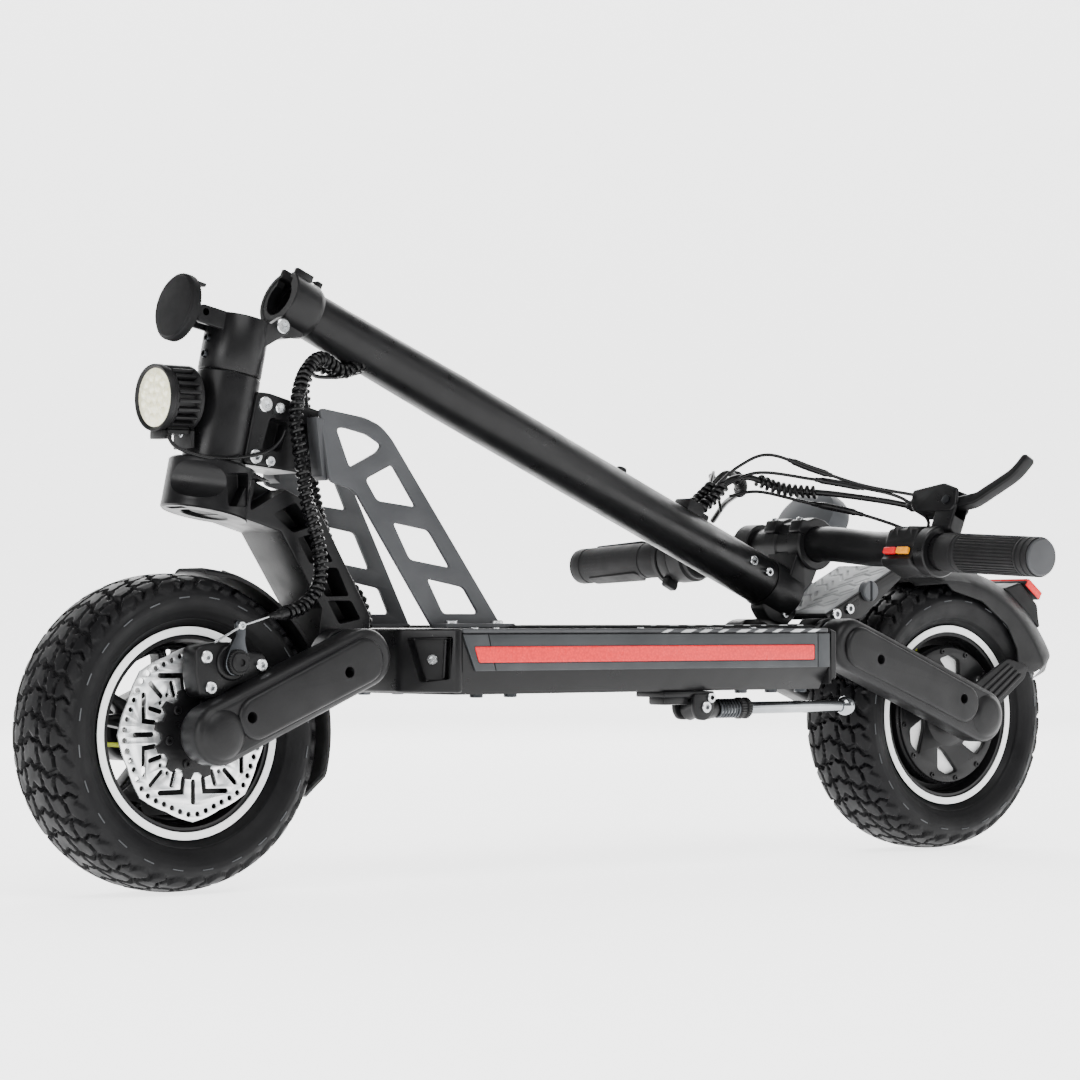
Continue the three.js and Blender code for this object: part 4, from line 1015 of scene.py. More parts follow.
@dataclass
class SwingArms:
    """The two cast arms that carry one wheel.

    Args:
        name: which end of the scooter.
        pivot: the joint that the arms turn on.
        axle: the joint that the wheel turns on.
        body: the arms' body.
    """

    name: str
    pivot: str
    axle: str
    body: str
    inner: float = 52.0
    outer: float = 86.0
    pivot_radius: float = 24.0
    axle_radius: float = 25.0
    bead: float = 7.0

    def build(self) -> None:
        """Builds both arms, their recesses and their end caps."""
        pivot = joint_point(self.pivot, PLACES.world)
        axle = joint_point(self.axle, PLACES.world)
        start, end = (axle.x, axle.z), (pivot.x, pivot.z)
        for side in Side:
            low, high = side.span(self.inner, self.outer - 4)
            shape = Shape().plate(capsule(start, end, self.axle_radius - 0.4, self.pivot_radius - 0.2, 16),
                (low, high), bevel=self.bead, steps=5)
            self._cap(shape, start, side, self.axle_radius - 3.2)
            self._ridge(shape, start, end, side)
            tool = Shape()
            for share in (0.16, 0.83) if self.name == "front" else (0.17, 0.8):
                spot = Vector(start).lerp(Vector(end), 1 - share) + Vector((0, 3 if share > 0.5 else -2))
                tool.lathe([(4.6, low + 14 if side is Side.LEFT else high - 14), (4.6, side.value * 100)],
                    Axis.Y, sides=24, centre=(spot.x, spot.y))
            shape.cut(tool)
            shape.finish(f"{self.name}_swing_arm_{side.word}", PLACES.world, self.body, FINISH.cast,
                [f"{self.name}_arm_{side.word}"], sharp=40)
        self._shafts(start, end)

    def _cap(self, shape: Shape, at: Point2, side: Side, radius: float) -> None:
        """Adds the domed cap over an axle's end."""
        run = side.value
        base = self.outer - 9
        shape.lathe([(radius, run * (base - 6)), (radius, run * base), (radius - 0.8, run * (base + 2.6)),
            (radius - 2.6, run * (base + 5.2)), (radius - 6, run * (base + 7.6)),
            (radius - 11, run * (base + 8.7)), (2, run * (base + 8.95))], Axis.Y, sides=48, centre=at)

    def _ridge(self, shape: Shape, start: Point2, end: Point2, side: Side) -> None:
        """Adds the long raised panel between the caps."""
        way = (Vector(end) - Vector(start)).normalized()
        first = Vector(start) + way * (self.axle_radius + 8)
        last = Vector(end) - way * 6
        low, high = side.span(self.outer - 8, self.outer - 0.4)
        shape.plate(capsule(tuple(first), tuple(last), 17.5, 18.5, 12), (low, high), bevel=6, steps=5)

    def _shafts(self, start: Point2, end: Point2) -> None:
        """Adds the washers and nuts seen between the arms and the wheel."""
        shape = Shape()
        for side in Side:
            for spot, radius in ((start, 13.0), (end, 12.0)):
                near, far = side.value * (self.inner - 0.2), side.value * (self.inner - 4.4)
                shape.lathe([(7.4, near), (radius, near), (radius, far), (radius - 1.5, far - side.value),
                    (7.4, far - side.value)], Axis.Y, sides=6 if radius > 12.5 else 32, loop=True,
                    centre=spot)
        shape.finish(f"{self.name}_arm_washers", PLACES.world, self.body, FINISH.zinc)


@dataclass
class Caliper:
    """The mechanical caliper, its adjuster and the arm that the cable pulls."""

    place: Matrix = field(default_factory=lambda: PLACES.front)
    near: float = -62.0
    arm_joint: str = "caliper_arm_turn"

    def build(self) -> None:
        """Builds the casting, its screws, the adjuster and the arm."""
        pivot = joint_point(self.arm_joint, self.place)
        x, z = pivot.x, pivot.z
        shape = Shape()
        outline = rounded([(x - 33, z - 10), (x - 29, z - 27), (x - 12, z - 29), (x + 2, z - 20),
            (x + 30, z - 13), (x + 36, z - 4), (x + 32, z + 7), (x + 15, z + 9), (x + 7, z + 16),
            (x - 14, z + 16), (x - 33, z + 13)], 6)
        shape.plate(outline, (self.near, -40.5), bevel=2.5, steps=3)
        shape.block((x - 28, -39.5, z - 14), (x + 8, -34.4, z + 8), 1.5)
        shape.plate(rounded([(x - 12, z - 30), (x + 24, z - 34), (x + 26, z - 16), (x - 12, z - 16)], 4),
            (-51.4, -40.5), bevel=1.5)
        shape.lathe([(14.5, self.near + 2), (14.5, self.near - 1.5), (13.4, self.near - 2.6),
            (2, self.near - 2.6)], Axis.Y, sides=40, centre=(x, z))
        shape.finish("caliper_casting", self.place, "front_arm", FINISH.coat, ["brake_caliper"], bevel=0.5)
        bolts = Shape()
        for dx, dz in ((-24, 4.5), (-20, -19.7), (28, -2.4)):
            screw(bolts, (x + dx, self.near, z + dz), 5.2, 2.6)
        bolts.lathe([(7.2, -74.2), (7.2, -74.8), (5.6, -74.8), (5.6, -74.2)], Axis.Y, sides=32, loop=True,
            centre=(x, z))
        bolts.finish("caliper_screws", self.place, "front_arm", FINISH.zinc)
        self._adjuster(x, z)
        self._arm(x, z)

    def _adjuster(self, x: float, z: float) -> None:
        """Builds the knurled adjuster in the middle of the arm."""
        shape = Shape()
        knurl = [polar(9.6 if k % 2 else 10.4, 6 * k, (x, z)) for k in range(60)]
        shape.plate(knurl, (-74.4, -70.6), bevel=0.5, steps=1)
        shape.lathe([(8, -70), (8, -76), (6.8, -77), (3, -77), (3, -75.4), (0.5, -75.4)], Axis.Y, sides=36,
            centre=(x, z))
        shape.finish("caliper_adjuster", self.place, "front_arm", FINISH.plastic)

    def _arm(self, x: float, z: float) -> None:
        """Builds the arm with its clamp for the inner wire."""
        shape = Shape().plate(rounded([(x - 11, z - 2), (x - 6, z + 12), (x + 1, z + 24), (x - 1, z + 33),
            (x + 6, z + 34), (x + 9, z + 27), (x + 8, z + 16), (x + 12, z + 4), (x + 8, z - 10),
            (x - 6, z - 11)], 5), (-69.8, -65.2), bevel=1.0, holes=[arc((x, z), 6.4, 0, 345, 23)])
        shape.finish("caliper_cable_arm", self.place, "caliper_lever", FINISH.dark_steel, ["caliper_arm"])
        clamp = Shape()
        screw(clamp, (x + 4, -69.8, z + 29), 3.4, 2.2)
        clamp.finish("caliper_cable_clamp", self.place, "caliper_lever", FINISH.zinc)


@dataclass
class Fork:
    """The cast crown that turns under the head tube and carries the front arms.

    Args:
        beam: half the width of the beam.
        web: half the thickness of the web between the pockets.
    """

    boss: float = 36.0
    boss_height: float = 43.0
    beam: float = 29.0
    web: float = 7.0
    housing: float = 16.0

    def build(self) -> None:
        """Builds the beam with its pockets, the boss and the pivot housing."""
        pivot = joint_point("front_suspension", PLACES.world)
        px, pz = pivot.x, pivot.z
        column = PLACES.world.inverted() @ PLACES.column

        def seat(x: float, z: float) -> Point2:
            spot = column @ Vector((x, 0, z))
            return (spot.x, spot.z)

        outline = [seat(20, -3), seat(8, -41), (px - 50, pz + 102), (px - 9, pz + 40),
            *arc((px, pz), self.housing - 1, 160, 290, 10), (px + 26, pz - 6), (px + 38, pz + 8),
            (px + 40, pz + 34), seat(88, -16)]
        shape = Shape().plate(outline, (-self.beam, self.beam), bevel=1.4, steps=2)
        pockets = [[(px - 80, pz + 145), (px - 39, pz + 139.5), (px - 80, pz + 118)],
            [(px - 58, pz + 116), (px - 36, pz + 126), (px - 18, pz + 107), (px - 38, pz + 101)],
            [(px - 34, pz + 97), (px - 14, pz + 102), (px + 2, pz + 78), (px - 21, pz + 76)],
            [(px - 18, pz + 73), (px + 6, pz + 73.5), (px + 18, pz + 50), (px - 6, pz + 49.5)],
            [(px - 4, pz + 46.5), (px + 20, pz + 46.5), (px + 30, pz + 31), (px + 8, pz + 27)]]
        for side in Side:
            tool = Shape()
            for points in pockets:
                low, high = side.span(self.web, self.beam + 2)
                tool.plate(rounded(points, 3.0), (low, high), bevel=0.8, steps=2)
            shape.cut(tool)
        boss = Shape()
        h = self.boss_height
        boss.lathe([(15.4, -1.2), (34.4, -1.2), (self.boss - 0.2, -2.6), (self.boss - 0.2, -h + 6),
            (self.boss + 0, -h + 5), (self.boss + 0, -h + 1.4), (self.boss - 1.4, -h + 0.2),
            (20, -h + 0.2), (19, -h + 1.2), (19, -h + 6), (4, -h + 6)], Axis.Z, sides=80)
        scoop = Shape().lathe([(17, -60), (17, 60)], Axis.Y, sides=48, centre=(-44, -20))
        scoop.moved(Matrix.Rotation(math.radians(38), 4, "Z"))
        boss.cut(scoop)
        slot = Shape().block((-30, -12, -h - 5), (-24, 12, -h + 6), 1.5)
        boss.cut(slot)
        for side in Side:
            low, high = side.span(18, 40)
            window = Shape().plate(
                rounded([(px - 107, pz + 147.5), (px - 85, pz + 148.5), (px - 84, pz + 121),
                (px - 106, pz + 121)], 3), (low, high), bevel=0.8)
            boss.cut(window.moved(column.inverted()))
            corner = Shape().plate(rounded(pockets[0], 3), (low, high), bevel=0.8)
            boss.cut(corner.moved(column.inverted()))
        shape.absorb(boss, column)
        shape.lathe([(7.4, -50.8), (self.housing - 1.4, -50.8), (self.housing, -49.4),
            (self.housing, 49.4), (self.housing - 1.4, 50.8), (7.4, 50.8)], Axis.Y, sides=48,
            centre=(px, pz))
        for side in Side:
            y = side.value
            shape.lathe([(self.housing - 1, y * 28), (22.5, y * 30), (23.5, y * 34), (23.5, y * 46),
                (22.3, y * 47.4), (self.housing - 1, y * 47.4)], Axis.Y, sides=48, loop=True,
                centre=(px, pz))
        shape.finish("fork_casting", PLACES.world, "steerer", FINISH.coat, ["fork_crown"], sharp=35)
        self._plug()

    def _plug(self) -> None:
        """Adds the round plug under the boss."""
        shape = Shape().plate(arc((0, 0), 12.5, 0, 350, 35), (-1.6, 0.6), Axis.Z, bevel=0.5)
        place = PLACES.column @ Matrix.Translation((0, 0, -self.boss_height + 4))
        shape.finish("fork_lower_plug", place, "steerer", FINISH.plastic)


@dataclass
class HeadTube:
    """The head tube, its rear bracket, screws and headset.

    Args:
        radius: of the tube.
        length: of the tube.
    """

    radius: float = 26.0
    length: float = 73.0
    half: float = 25.0

    def build(self) -> None:
        """Builds the tube and the bracket that the gusset plates bolt to."""
        tube = Shape()
        r, top = self.radius, self.length - 0.3
        tube.lathe([(17, 0.3), (r - 1.2, 0.3), (r - 0.2, 1.3), (r, 3), (r, top - 1.2), (r - 0.8, top),
            (17, top)], Axis.Z, sides=96, loop=True)
        tube.finish("head_tube_barrel", PLACES.column, "frame", FINISH.coat, ["head_tube"])
        bracket = Shape().plate(rounded([(13, 2), (72, 8), (78, 62), (26, 64), (14, 62)], 3),
            (-self.half, self.half), bevel=2.2, steps=3)
        for side in Side:
            tool = Shape()
            y = side.value
            low, high = side.span(12, 30)
            tool.plate(rounded([(27, 18), (46, 19), (48, 45), (30, 45)], 3.5), (low, high), bevel=0.8)
            tool.plate(rounded([(56, 20), (66, 21), (69, 47), (59, 48)], 3.5), (low, high), bevel=0.8)
            bracket.cut(tool)
        bore = Shape().lathe([(self.radius + 0.3, -5), (self.radius + 0.3, 80)], Axis.Z, sides=96)
        bracket.cut(bore)
        bracket.finish("head_tube_bracket", PLACES.column, "frame", FINISH.coat, ["head_bracket"])
        bolts = Shape()
        for side in Side:
            y = side.value * (self.half - 0.2)
            for x, z, size in ((22.5, 53.5, 6.4), (37, 54, 4.6), (22, 10, 6.0), (36.5, 9.5, 4.4)):
                screw(bolts, (x, y, z), size, 3.0, sign=side.value)
        bolts.finish("head_bracket_screws", PLACES.column, "frame", FINISH.zinc)
        seals = Shape().lathe([(16, -0.8), (24.6, -0.8), (24.6, 0.1), (16, 0.1)], Axis.Z, sides=64, loop=True)
        seals.finish("headset_seal", PLACES.column, "frame", FINISH.plastic)


@dataclass
class Headlight:
    """The finned lamp on the front of the head tube."""

    fins: int = 22

    def build(self) -> None:
        """Builds the housing, the lens, the bracket and its lead."""
        inverse = PLACES.world.inverted()
        low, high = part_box("headlight_lens")
        front, z = (inverse @ low).x, (inverse @ ((low + high) / 2)).z
        housing_box = [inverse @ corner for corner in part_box("headlight_housing")]
        start = housing_box[0].x
        shape = Shape()
        centre = (0.0, z)
        shape.lathe([(23.2, start + 6), (23.2, start + 2.4), (25.4, start + 0.4), (26.6, start + 0.2),
            (27, start + 1.2), (27, start + 6), (25.6, start + 7.4), (25.6, start + 9.4), (22, start + 11),
            (21.5, start + 27), (25.5, start + 29), (26.6, start + 30), (26.6, start + 32),
            (25.6, start + 33), (2, start + 33), (2, start + 6)], Axis.X, sides=96, centre=centre)
        for k in range(self.fins):
            fin = Shape().block((start + 9, -1.5, 20), (start + 29.5, 1.5, 26.6), 0.7)
            shape.absorb(fin, Matrix.Translation((0, 0, z)) @ Matrix.Rotation(2 * math.pi * k / self.fins,
                4, "X"))
        foot = housing_box[0].z
        shape.block((start + 3, -9, z - 33), (start + 13, 9, z - 26), 1.0)
        shape.plate(rounded([(start + 8, z - 29), (start + 31.6, z - 29), (start + 31.6, z - 25.6),
            (start + 8, z - 25.6)], 1), (-11, 11), bevel=0.6)
        shape.plate(rounded([(start + 28, z - 26), (start + 31.6, z - 26), (start + 31.6, foot + 0.6),
            (start + 28, foot + 0.6)], 1), (-13, 13), bevel=0.8)
        shape.finish("headlight_finned_housing", PLACES.world, "frame", FINISH.plastic, ["headlight_housing"])
        self._lens(front, z)
        bolt = Shape()
        screw(bolt, (start + 28, 0, foot + 13), 3.0, 1.6, FORWARD)
        bolt.finish("headlight_bracket_screw", PLACES.world, "frame", FINISH.zinc)
        lead = smooth_route([(start + 8, -10, z - 31), (start + 13, -15, z - 40),
            (start + 30, -25, z - 47), (start + 48, -29.6, z - 48.5), (start + 72, -30, z - 46),
            (start + 92, -29.4, z - 41), (start + 104, -28.2, z - 33), (start + 110, -27, z - 24)], 3)
        cord = Shape().tube(lead, 1.5, 12).finish("headlight_lead", PLACES.world, "frame", FINISH.sleeve,
            slot="matte_black_plastic")

    def _lens(self, front: float, z: float) -> None:
        """Builds the faceted lens: rings of small domes around a middle one."""
        shape = Shape().lathe([(24.0, front + 4), (24.0, front + 1.4), (23.0, front + 0.8),
            (2, front + 0.8)], Axis.X, sides=64, centre=(0, z))
        spots = [(0.0, 0.0)] + [polar(8.4, 60 * k) for k in range(6)] + [polar(16.6, 30 * k + 15)
            for k in range(12)]
        for a, b in spots:
            shape.lathe([(4.1, front + 1.0), (3.9, front + 0.6), (3.0, front + 0.1), (1.6, front - 0.4),
                (0.3, front - 0.5)], Axis.X, sides=6, centre=(a, z + b))
        shape.finish("headlight_faceted_lens", PLACES.world, "frame", FINISH.lens, ["headlight_lens"])


@dataclass
class Column:
    """The clamp tube above the head tube, with the hinge ears, the latch and its knob."""

    low: float = 73.3
    top: float = 120.6
    radius: float = 26.0
    ear: float = 9.0
    hinge_half: float = 13.3

    def build(self) -> None:
        """Builds the tube, the ears, the pin, the latch and the knob."""
        shape = Shape()
        r, low, top = self.radius, self.low, self.top - 0.5
        shape.lathe([(17, low), (r - 0.8, low), (r, low + 1.2), (r, top - 1.2), (r - 0.8, top),
            (19.6, top), (19, top - 0.8), (19, top - 10), (17, top - 10)], Axis.Z, sides=96, loop=True)
        pin = joint_point("stem_fold", PLACES.column)
        for side in Side:
            run = side.span(self.hinge_half + 0.2, self.hinge_half + self.ear - 0.2)
            shape.plate([*arc((pin.x, pin.z), 8, -60, 100, 14), (18, top), (9, top), (9, top - 26)], run,
                bevel=1.2)
        for side in Side:
            run = side.span(9.6, 14.0)
            shape.plate(rounded([(-20, top - 15), (-46, top - 15), (-48, top - 11), (-48, top - 2),
                (-44, top + 0.2), (-20, top + 0.2)], 3), run, bevel=0.8)
        hollow = Shape().lathe([(19, top - 9.6), (19, top + 6)], Axis.Z, sides=64)
        hollow.lathe([(9.6, -self.hinge_half), (9.6, self.hinge_half)], Axis.Y, sides=40,
            centre=(pin.x, pin.z))
        shape.cut(hollow)
        shape.finish("clamp_tube", PLACES.column, "steerer", FINISH.coat, ["steerer_column"], sharp=35)
        bolts = Shape()
        for side in Side:
            screw(bolts, (pin.x, side.value * (self.hinge_half + self.ear - 0.4), pin.z), 6.2, 2.6,
                sign=side.value)
        bolts.lathe([(4, -13), (4, 13)], Axis.Y, sides=24, centre=(pin.x, pin.z))
        bolts.finish("fold_pin_screws", PLACES.column, "steerer", FINISH.zinc, ["fold_pin"])
        small = Shape()
        for z in (84.5, 98.0):
            screw(small, (-r + 0.4, 0, z), 3.4, 2.6, FORWARD)
        small.finish("clamp_tube_screws", PLACES.column, "steerer", FINISH.dark_steel)
        self._latch()

    def _latch(self) -> None:
        """Builds the claw that swings on the yoke and the knob that draws it tight."""
        spot = joint_point("latch_swing", PLACES.column)
        x, z = spot.x, spot.z
        claw = Shape().plate(rounded([(x + 2.6, z - 4.8), (x + 2.6, z + 4.8), (x - 9.6, z + 4.8),
            (x - 9.6, z + 20.5), (x - 1, z + 20.5), (x - 0.5, z + 23.6), (x - 12.8, z + 24),
            (x - 12.8, z - 15.8), (x - 10.2, z - 15.8), (x - 9.6, z - 4.8)], 1.6), (-8.8, 8.8), bevel=0.8)
        claw.lathe([(3, -14), (3, 14)], Axis.Y, sides=24, centre=(x, z))
        claw.lathe([(4, x - 18), (4, x - 12)], Axis.X, sides=24, centre=(0, z))
        notch = Shape().block((x - 9, -3.2, z + 10), (x + 4, 3.2, z + 30), 0.8)
        claw.cut(notch)
        claw.finish("latch_claw", PLACES.column, "latch", FINISH.coat, ["clamp_bolt"])
        back = x - 13.3
        knob = Shape()
        ridges, around = 6, 132
        rings = []
        for radius, run in ((5, back), (23, back), (26.0, back - 0.8)):
            rings.append([Axis.X.point(radius * math.cos(a), radius * math.sin(a), run)
                for a in turns(around)])
        for row in range(ridges + 1):
            run = back - 1.2 - 6.0 * row / ridges
            ring = []
            for k in range(around):
                a = 2 * math.pi * k / around
                high = (k + row) % 2
                ring.append(Axis.X.point((27.9 if high else 27.2) * math.cos(a),
                    (27.9 if high else 27.2) * math.sin(a), run))
            rings.append(ring)
        for radius, run in ((27.0, back - 7.8), (25.6, back - 8.2), (25.0, back - 9.6), (23.6, back - 10.0),
                            (2, back - 10.0)):
            rings.append([Axis.X.point(radius * math.cos(a), radius * math.sin(a), run)
                for a in turns(around)])
        knob.grid(rings)
        # The knob wears the recess shadow coat: painted shade that darkens the whole knob
        knob.finish("latch_knurled_knob", PLACES.column @ Matrix.Translation((0, 0, z)), "knob",
            FINISH.dark, ["clamp_knob"], sharp=45)


def line_distance(outline: Sequence[Point2], spot: Point2) -> float:
    """Distance from a spot to a line of points."""
    best = 1e9
    for (x0, y0), (x1, y1) in zip(outline, outline[1:]):
        dx, dy = x1 - x0, y1 - y0
        t = ((spot[0] - x0) * dx + (spot[1] - y0) * dy) / (dx * dx + dy * dy)
        t = min(1.0, max(0.0, t))
        best = min(best, math.hypot(spot[0] - x0 - t * dx, spot[1] - y0 - t * dy))
    return best


@dataclass
class Gussets:
    """The two perforated plates between the deck and the head tube.

    Args:
        foot: height of the plates' lower edge.
        reach: height of the plates above it.
    """

    foot: float = 209.6
    reach: float = 162.0
    thickness: float = 4.0
    low_y: float = 64.0
    lean: float = 24.0

    def build(self) -> None:
        """Builds both plates with their windows, flanges and heels."""
        f = self.foot
        outline = [(-138, f), (-237, f + 157), (-247, f + 167), (-262, f + 173), (-307, f + 179.5),
            (-303, f + 119), (-284, f + 114.5), (-277, f + 110), (-211, f)]
        windows = [[(-292, f + 163), (-284, f + 164), (-261, f + 159), (-247, f + 151), (-252, f + 145),
            (-282, f + 131)], [(-238, f + 135), (-217, f + 100), (-257, f + 104.5), (-267, f + 122)],
            [(-243, f + 87), (-206, f + 81), (-187, f + 50), (-229, f + 56.5)],
            [(-213, f + 41), (-175, f + 34), (-162, f + 12), (-199.5, f + 12)]]
        for side in Side:
            shape = Shape().plate(self._fine(rounded(outline, 5)),
                (-self.thickness / 2, self.thickness / 2), bevel=0.7,
                holes=[rounded(points, 4) for points in windows])
            for vert in shape.bm.verts:
                away = self.low_y - self.lean * (vert.co.z - f) / self.reach
                vert.co.y = side.value * (vert.co.y + away)
            y = side.value
            low, high = side.span(26, 41.5)
            shape.plate(rounded([(-311.5, f + 172), (-304.5, f + 170), (-300, f + 120), (-306, f + 124)],
                1), (low, high), bevel=0.8)
            low, high = side.span(61, 84)
            shape.plate(rounded([(-211, f), (-211, f + 4), (-139, f + 4), (-139, f)], 1.2), (low, high),
                bevel=1)
            shape.finish(f"gusset_plate_{side.word}", PLACES.world, "frame", FINISH.sheet,
                [f"gusset_{side.word}"], slot="gusset_plate")
            bolts = Shape()
            for x in (-200, -152):
                screw(bolts, (x, y * 75, f + 4), 5.4, 2.6, UPWARD)
            bolts.finish(f"gusset_heel_screws_{side.word}", PLACES.world, "frame", FINISH.zinc)

    @staticmethod
    def _fine(outline: Sequence[Point2], step: float = 12.0) -> list[Point2]:
        """Adds points along long edges so that a lean follows them."""
        result: list[Point2] = []
        for a, b in zip(outline, [*outline[1:], outline[0]]):
            count = max(1, math.ceil(math.dist(a, b) / step))
            result.extend(((a[0] + (b[0] - a[0]) * k / count, a[1] + (b[1] - a[1]) * k / count)
                for k in range(count)))
        return result


@dataclass
class Deck:
    """The footboard: shell, side panels, reflectors, cover, mat, nose and tail.

    Args:
        front: where the shell starts.
        rear: where it ends.
        half: half its width.
    """

    front: float = -205.0
    rear: float = 209.0
    half: float = 98.0
    floor: float = 155.0
    shell_top: float = 205.0
    cover_top: float = 209.3
    bevel: float = 12.0

    def build(self) -> None:
        """Builds every part of the deck."""
        self.shell()
        self.panels()
        self.cover()
        self.mat()
        self.nose()
        self.tail()

    def shell(self) -> None:
        """Builds the channel of the shell and the bolts under it."""
        h, low, b = self.half - 1.2, self.floor + self.bevel * 1.6, self.bevel
        outer = [(-h, self.shell_top), (-h, low), (-h + b, self.floor), (h - b, self.floor), (h, low),
            (h, self.shell_top)]
        inner = [(h - 4, self.shell_top), (h - 4, low), (h - b - 4, self.floor + 4),
            (b + 4 - h, self.floor + 4), (4 - h, low), (4 - h, self.shell_top)]
        shape = Shape().plate([*outer, *inner], (self.front, self.rear), Axis.X, bevel=0.8)
        shape.finish("deck_shell_channel", PLACES.world, "frame", FINISH.coat, ["deck_shell"])
        feet = Shape()
        for x in (-176, -140, 120, 156, 192):
            for y in (-78, 78):
                screw(feet, (x, y, self.floor + 0.2), 5.6, 3.0, DOWNWARD)
        feet.finish("deck_floor_screws", PLACES.world, "frame", FINISH.dark_steel)

    def panels(self) -> None:
        """Builds the grey side panels with their seams, and the reflectors let into them."""
        low, top = self.floor + self.bevel * 1.6, self.shell_top - 0.4
        for side in Side:
            run = side.span(self.half - 1.1, self.half + 1.2)
            pieces = [[(self.front - 1, top), (self.front + 25, top), (self.front + 33, low + 0.4),
                (self.front + 12, low + 0.4)], [(self.front + 25.9, top), (self.rear - 15.3, top),
                (self.rear - 15.3, low + 0.4), (self.front + 33.9, low + 0.4)],
                [(self.rear - 14.5, top), (self.rear - 0.4, top), (self.rear - 0.4, low + 0.4),
                (self.rear - 14.5, low + 0.4)]]
            shape = Shape()
            for points in pieces:
                shape.plate(points, run, bevel=0.5)
            red_top, red_low = self.shell_top - 9.6, self.shell_top - 24.4
            groove = Shape().plate(rounded([(self.front + 10, red_top), (self.front + 15, red_low),
                (self.rear - 19, red_low), (self.rear - 19, red_top)], 2.5),
                side.span(self.half + 0.1, self.half + 4), bevel=0.1)
            shape.cut(groove)
            shape.finish(f"deck_side_panel_{side.word}", PLACES.world, "frame", FINISH.grey)
            lens = Shape()
            run = side.span(self.half + 0.2, self.half + 1.9)
            lens.plate(rounded([(self.front + 10.9, red_top - 0.8), (self.front + 15.6, red_low + 0.8),
                (self.rear - 19.8, red_low + 0.8), (self.rear - 19.8, red_top - 0.8)], 2.0), run, bevel=0.7)
            lens.finish(f"deck_reflector_{side.word}", PLACES.world, "frame", FINISH.red,
                [f"reflector_{side.word}"])

    def cover(self) -> None:
        """Builds the cover plate with its rounded rim and screws."""
        h = self.half
        shape = Shape().plate(rounded([(self.front, -h), (self.rear, -h), (self.rear, h), (self.front, h)],
            3), (self.shell_top + 0.3, self.cover_top), Axis.Z, bevel=1.4)
        shape.finish("deck_cover_plate", PLACES.world, "frame", FINISH.sheet, ["deck_cover"])
        bolts = Shape()
        for x in (-190, -168, -10, 120):
            for y in (-94, 94):
                screw(bolts, (x, y, self.cover_top - 0.2), 2.9, 1.2, UPWARD)
        bolts.finish("deck_cover_screws", PLACES.world, "frame", FINISH.zinc)

    def mat(self) -> None:
        """Builds the rubber mat: ribs along it and pale slashes over its rear half."""
        low, high = (PLACES.world.inverted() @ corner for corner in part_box("deck_mat"))
        shape = Shape().plate(rounded([(low.x, low.y), (high.x, low.y), (high.x, high.y), (low.x, high.y)],
            8), (low.z, high.z - 0.9), Axis.Z, bevel=0.6)
        count = 29
        for k in range(count):
            y = low.y + 6 + (high.y - low.y - 12) * k / (count - 1)
            shape.block((low.x + 5, y - 1.6, high.z - 1.2), (high.x - 5, y + 1.6, high.z - 0.1), 0.4, 1)
        shape.finish("deck_mat_ribbed", PLACES.world, "frame", FINISH.mat, ["deck_mat"])
        inlay = Shape()
        for k in range(9):
            x = 6 + k * 21.5
            width = 5.5 + 2.2 * ((k * 2) % 3)
            for sign in (-1, 1):
                inlay.plate([(x, sign * 89), (x + width, sign * 89), (x + width + 26, sign * 58),
                    (x + 26, sign * 58)], (high.z - 1.0, high.z), Axis.Z, bevel=0.2, steps=1)
                inlay.plate([(x + 26, sign * 50), (x + 26 + width, sign * 50), (x + width, sign * 19),
                    (x, sign * 19)], (high.z - 1.0, high.z), Axis.Z, bevel=0.2, steps=1)
        edge = Shape()
        for k in range(9):
            x = 10 + k * 21.5
            width = 7 + 2.5 * ((k * 2) % 3)
            for sign in (-1, 1):
                y0, y1 = sorted((sign * (self.half - 0.2), sign * (self.half + 0.25)))
                edge.plate([(x, self.cover_top - 3.6), (x + width, self.cover_top - 3.6),
                    (x + width + 7, self.cover_top - 0.9), (x + 7, self.cover_top - 0.9)], (y0, y1),
                    bevel=0.08, steps=1)
        inlay.absorb(edge)
        inlay.finish("deck_mat_slashes", PLACES.world, "frame", FINISH.pale_print)

    def nose(self) -> None:
        """Builds the nose casting with a screw pocket in each slanted face."""
        back, reach = self.front - 0.3, 32.0
        shape = Shape().plate(rounded([(back, -self.half), (back - 6, -self.half), (back - reach, -52),
            (back - reach, 52), (back - 6, self.half), (back, self.half)], 4),
            (self.floor + 2, self.cover_top), Axis.Z, bevel=2.0, steps=3)
        bolts = Shape()
        for side in Side:
            y = side.value
            start = Vector((back - 6, y * self.half, 0))
            way = (Vector((back - reach, y * 52, 0)) - start).normalized()
            out = Vector((way.y * y, -way.x * y, 0))
            out = out if out.y * y > 0 else -out
            local = Matrix(((way.x, out.x, 0, start.x), (way.y, out.y, 0, start.y), (0, 0, 1, 0),
                (0, 0, 0, 1)))
            tool = Shape().plate(rounded([(3.5, 203), (45, 202), (33, 165), (6, 168)], 3), (-13, 4),
                bevel=1.5)
            shape.cut(tool.moved(local))
            head = screw(Shape(), (0, 0, 0), 4.8, 2.6, sign=1)
            bolts.absorb(head, local @ Matrix.Translation((27, -13, 184)))
            rib = Shape().plate(rounded([(12, 201), (15, 201), (17, 168), (14, 168)], 1), (-13.5, -7),
                bevel=0.8)
            shape.absorb(rib, local)
        shape.finish("deck_nose_casting", PLACES.world, "frame", FINISH.coat, ["nose_casting"])
        bolts.finish("deck_nose_screws", PLACES.world, "frame", FINISH.zinc)

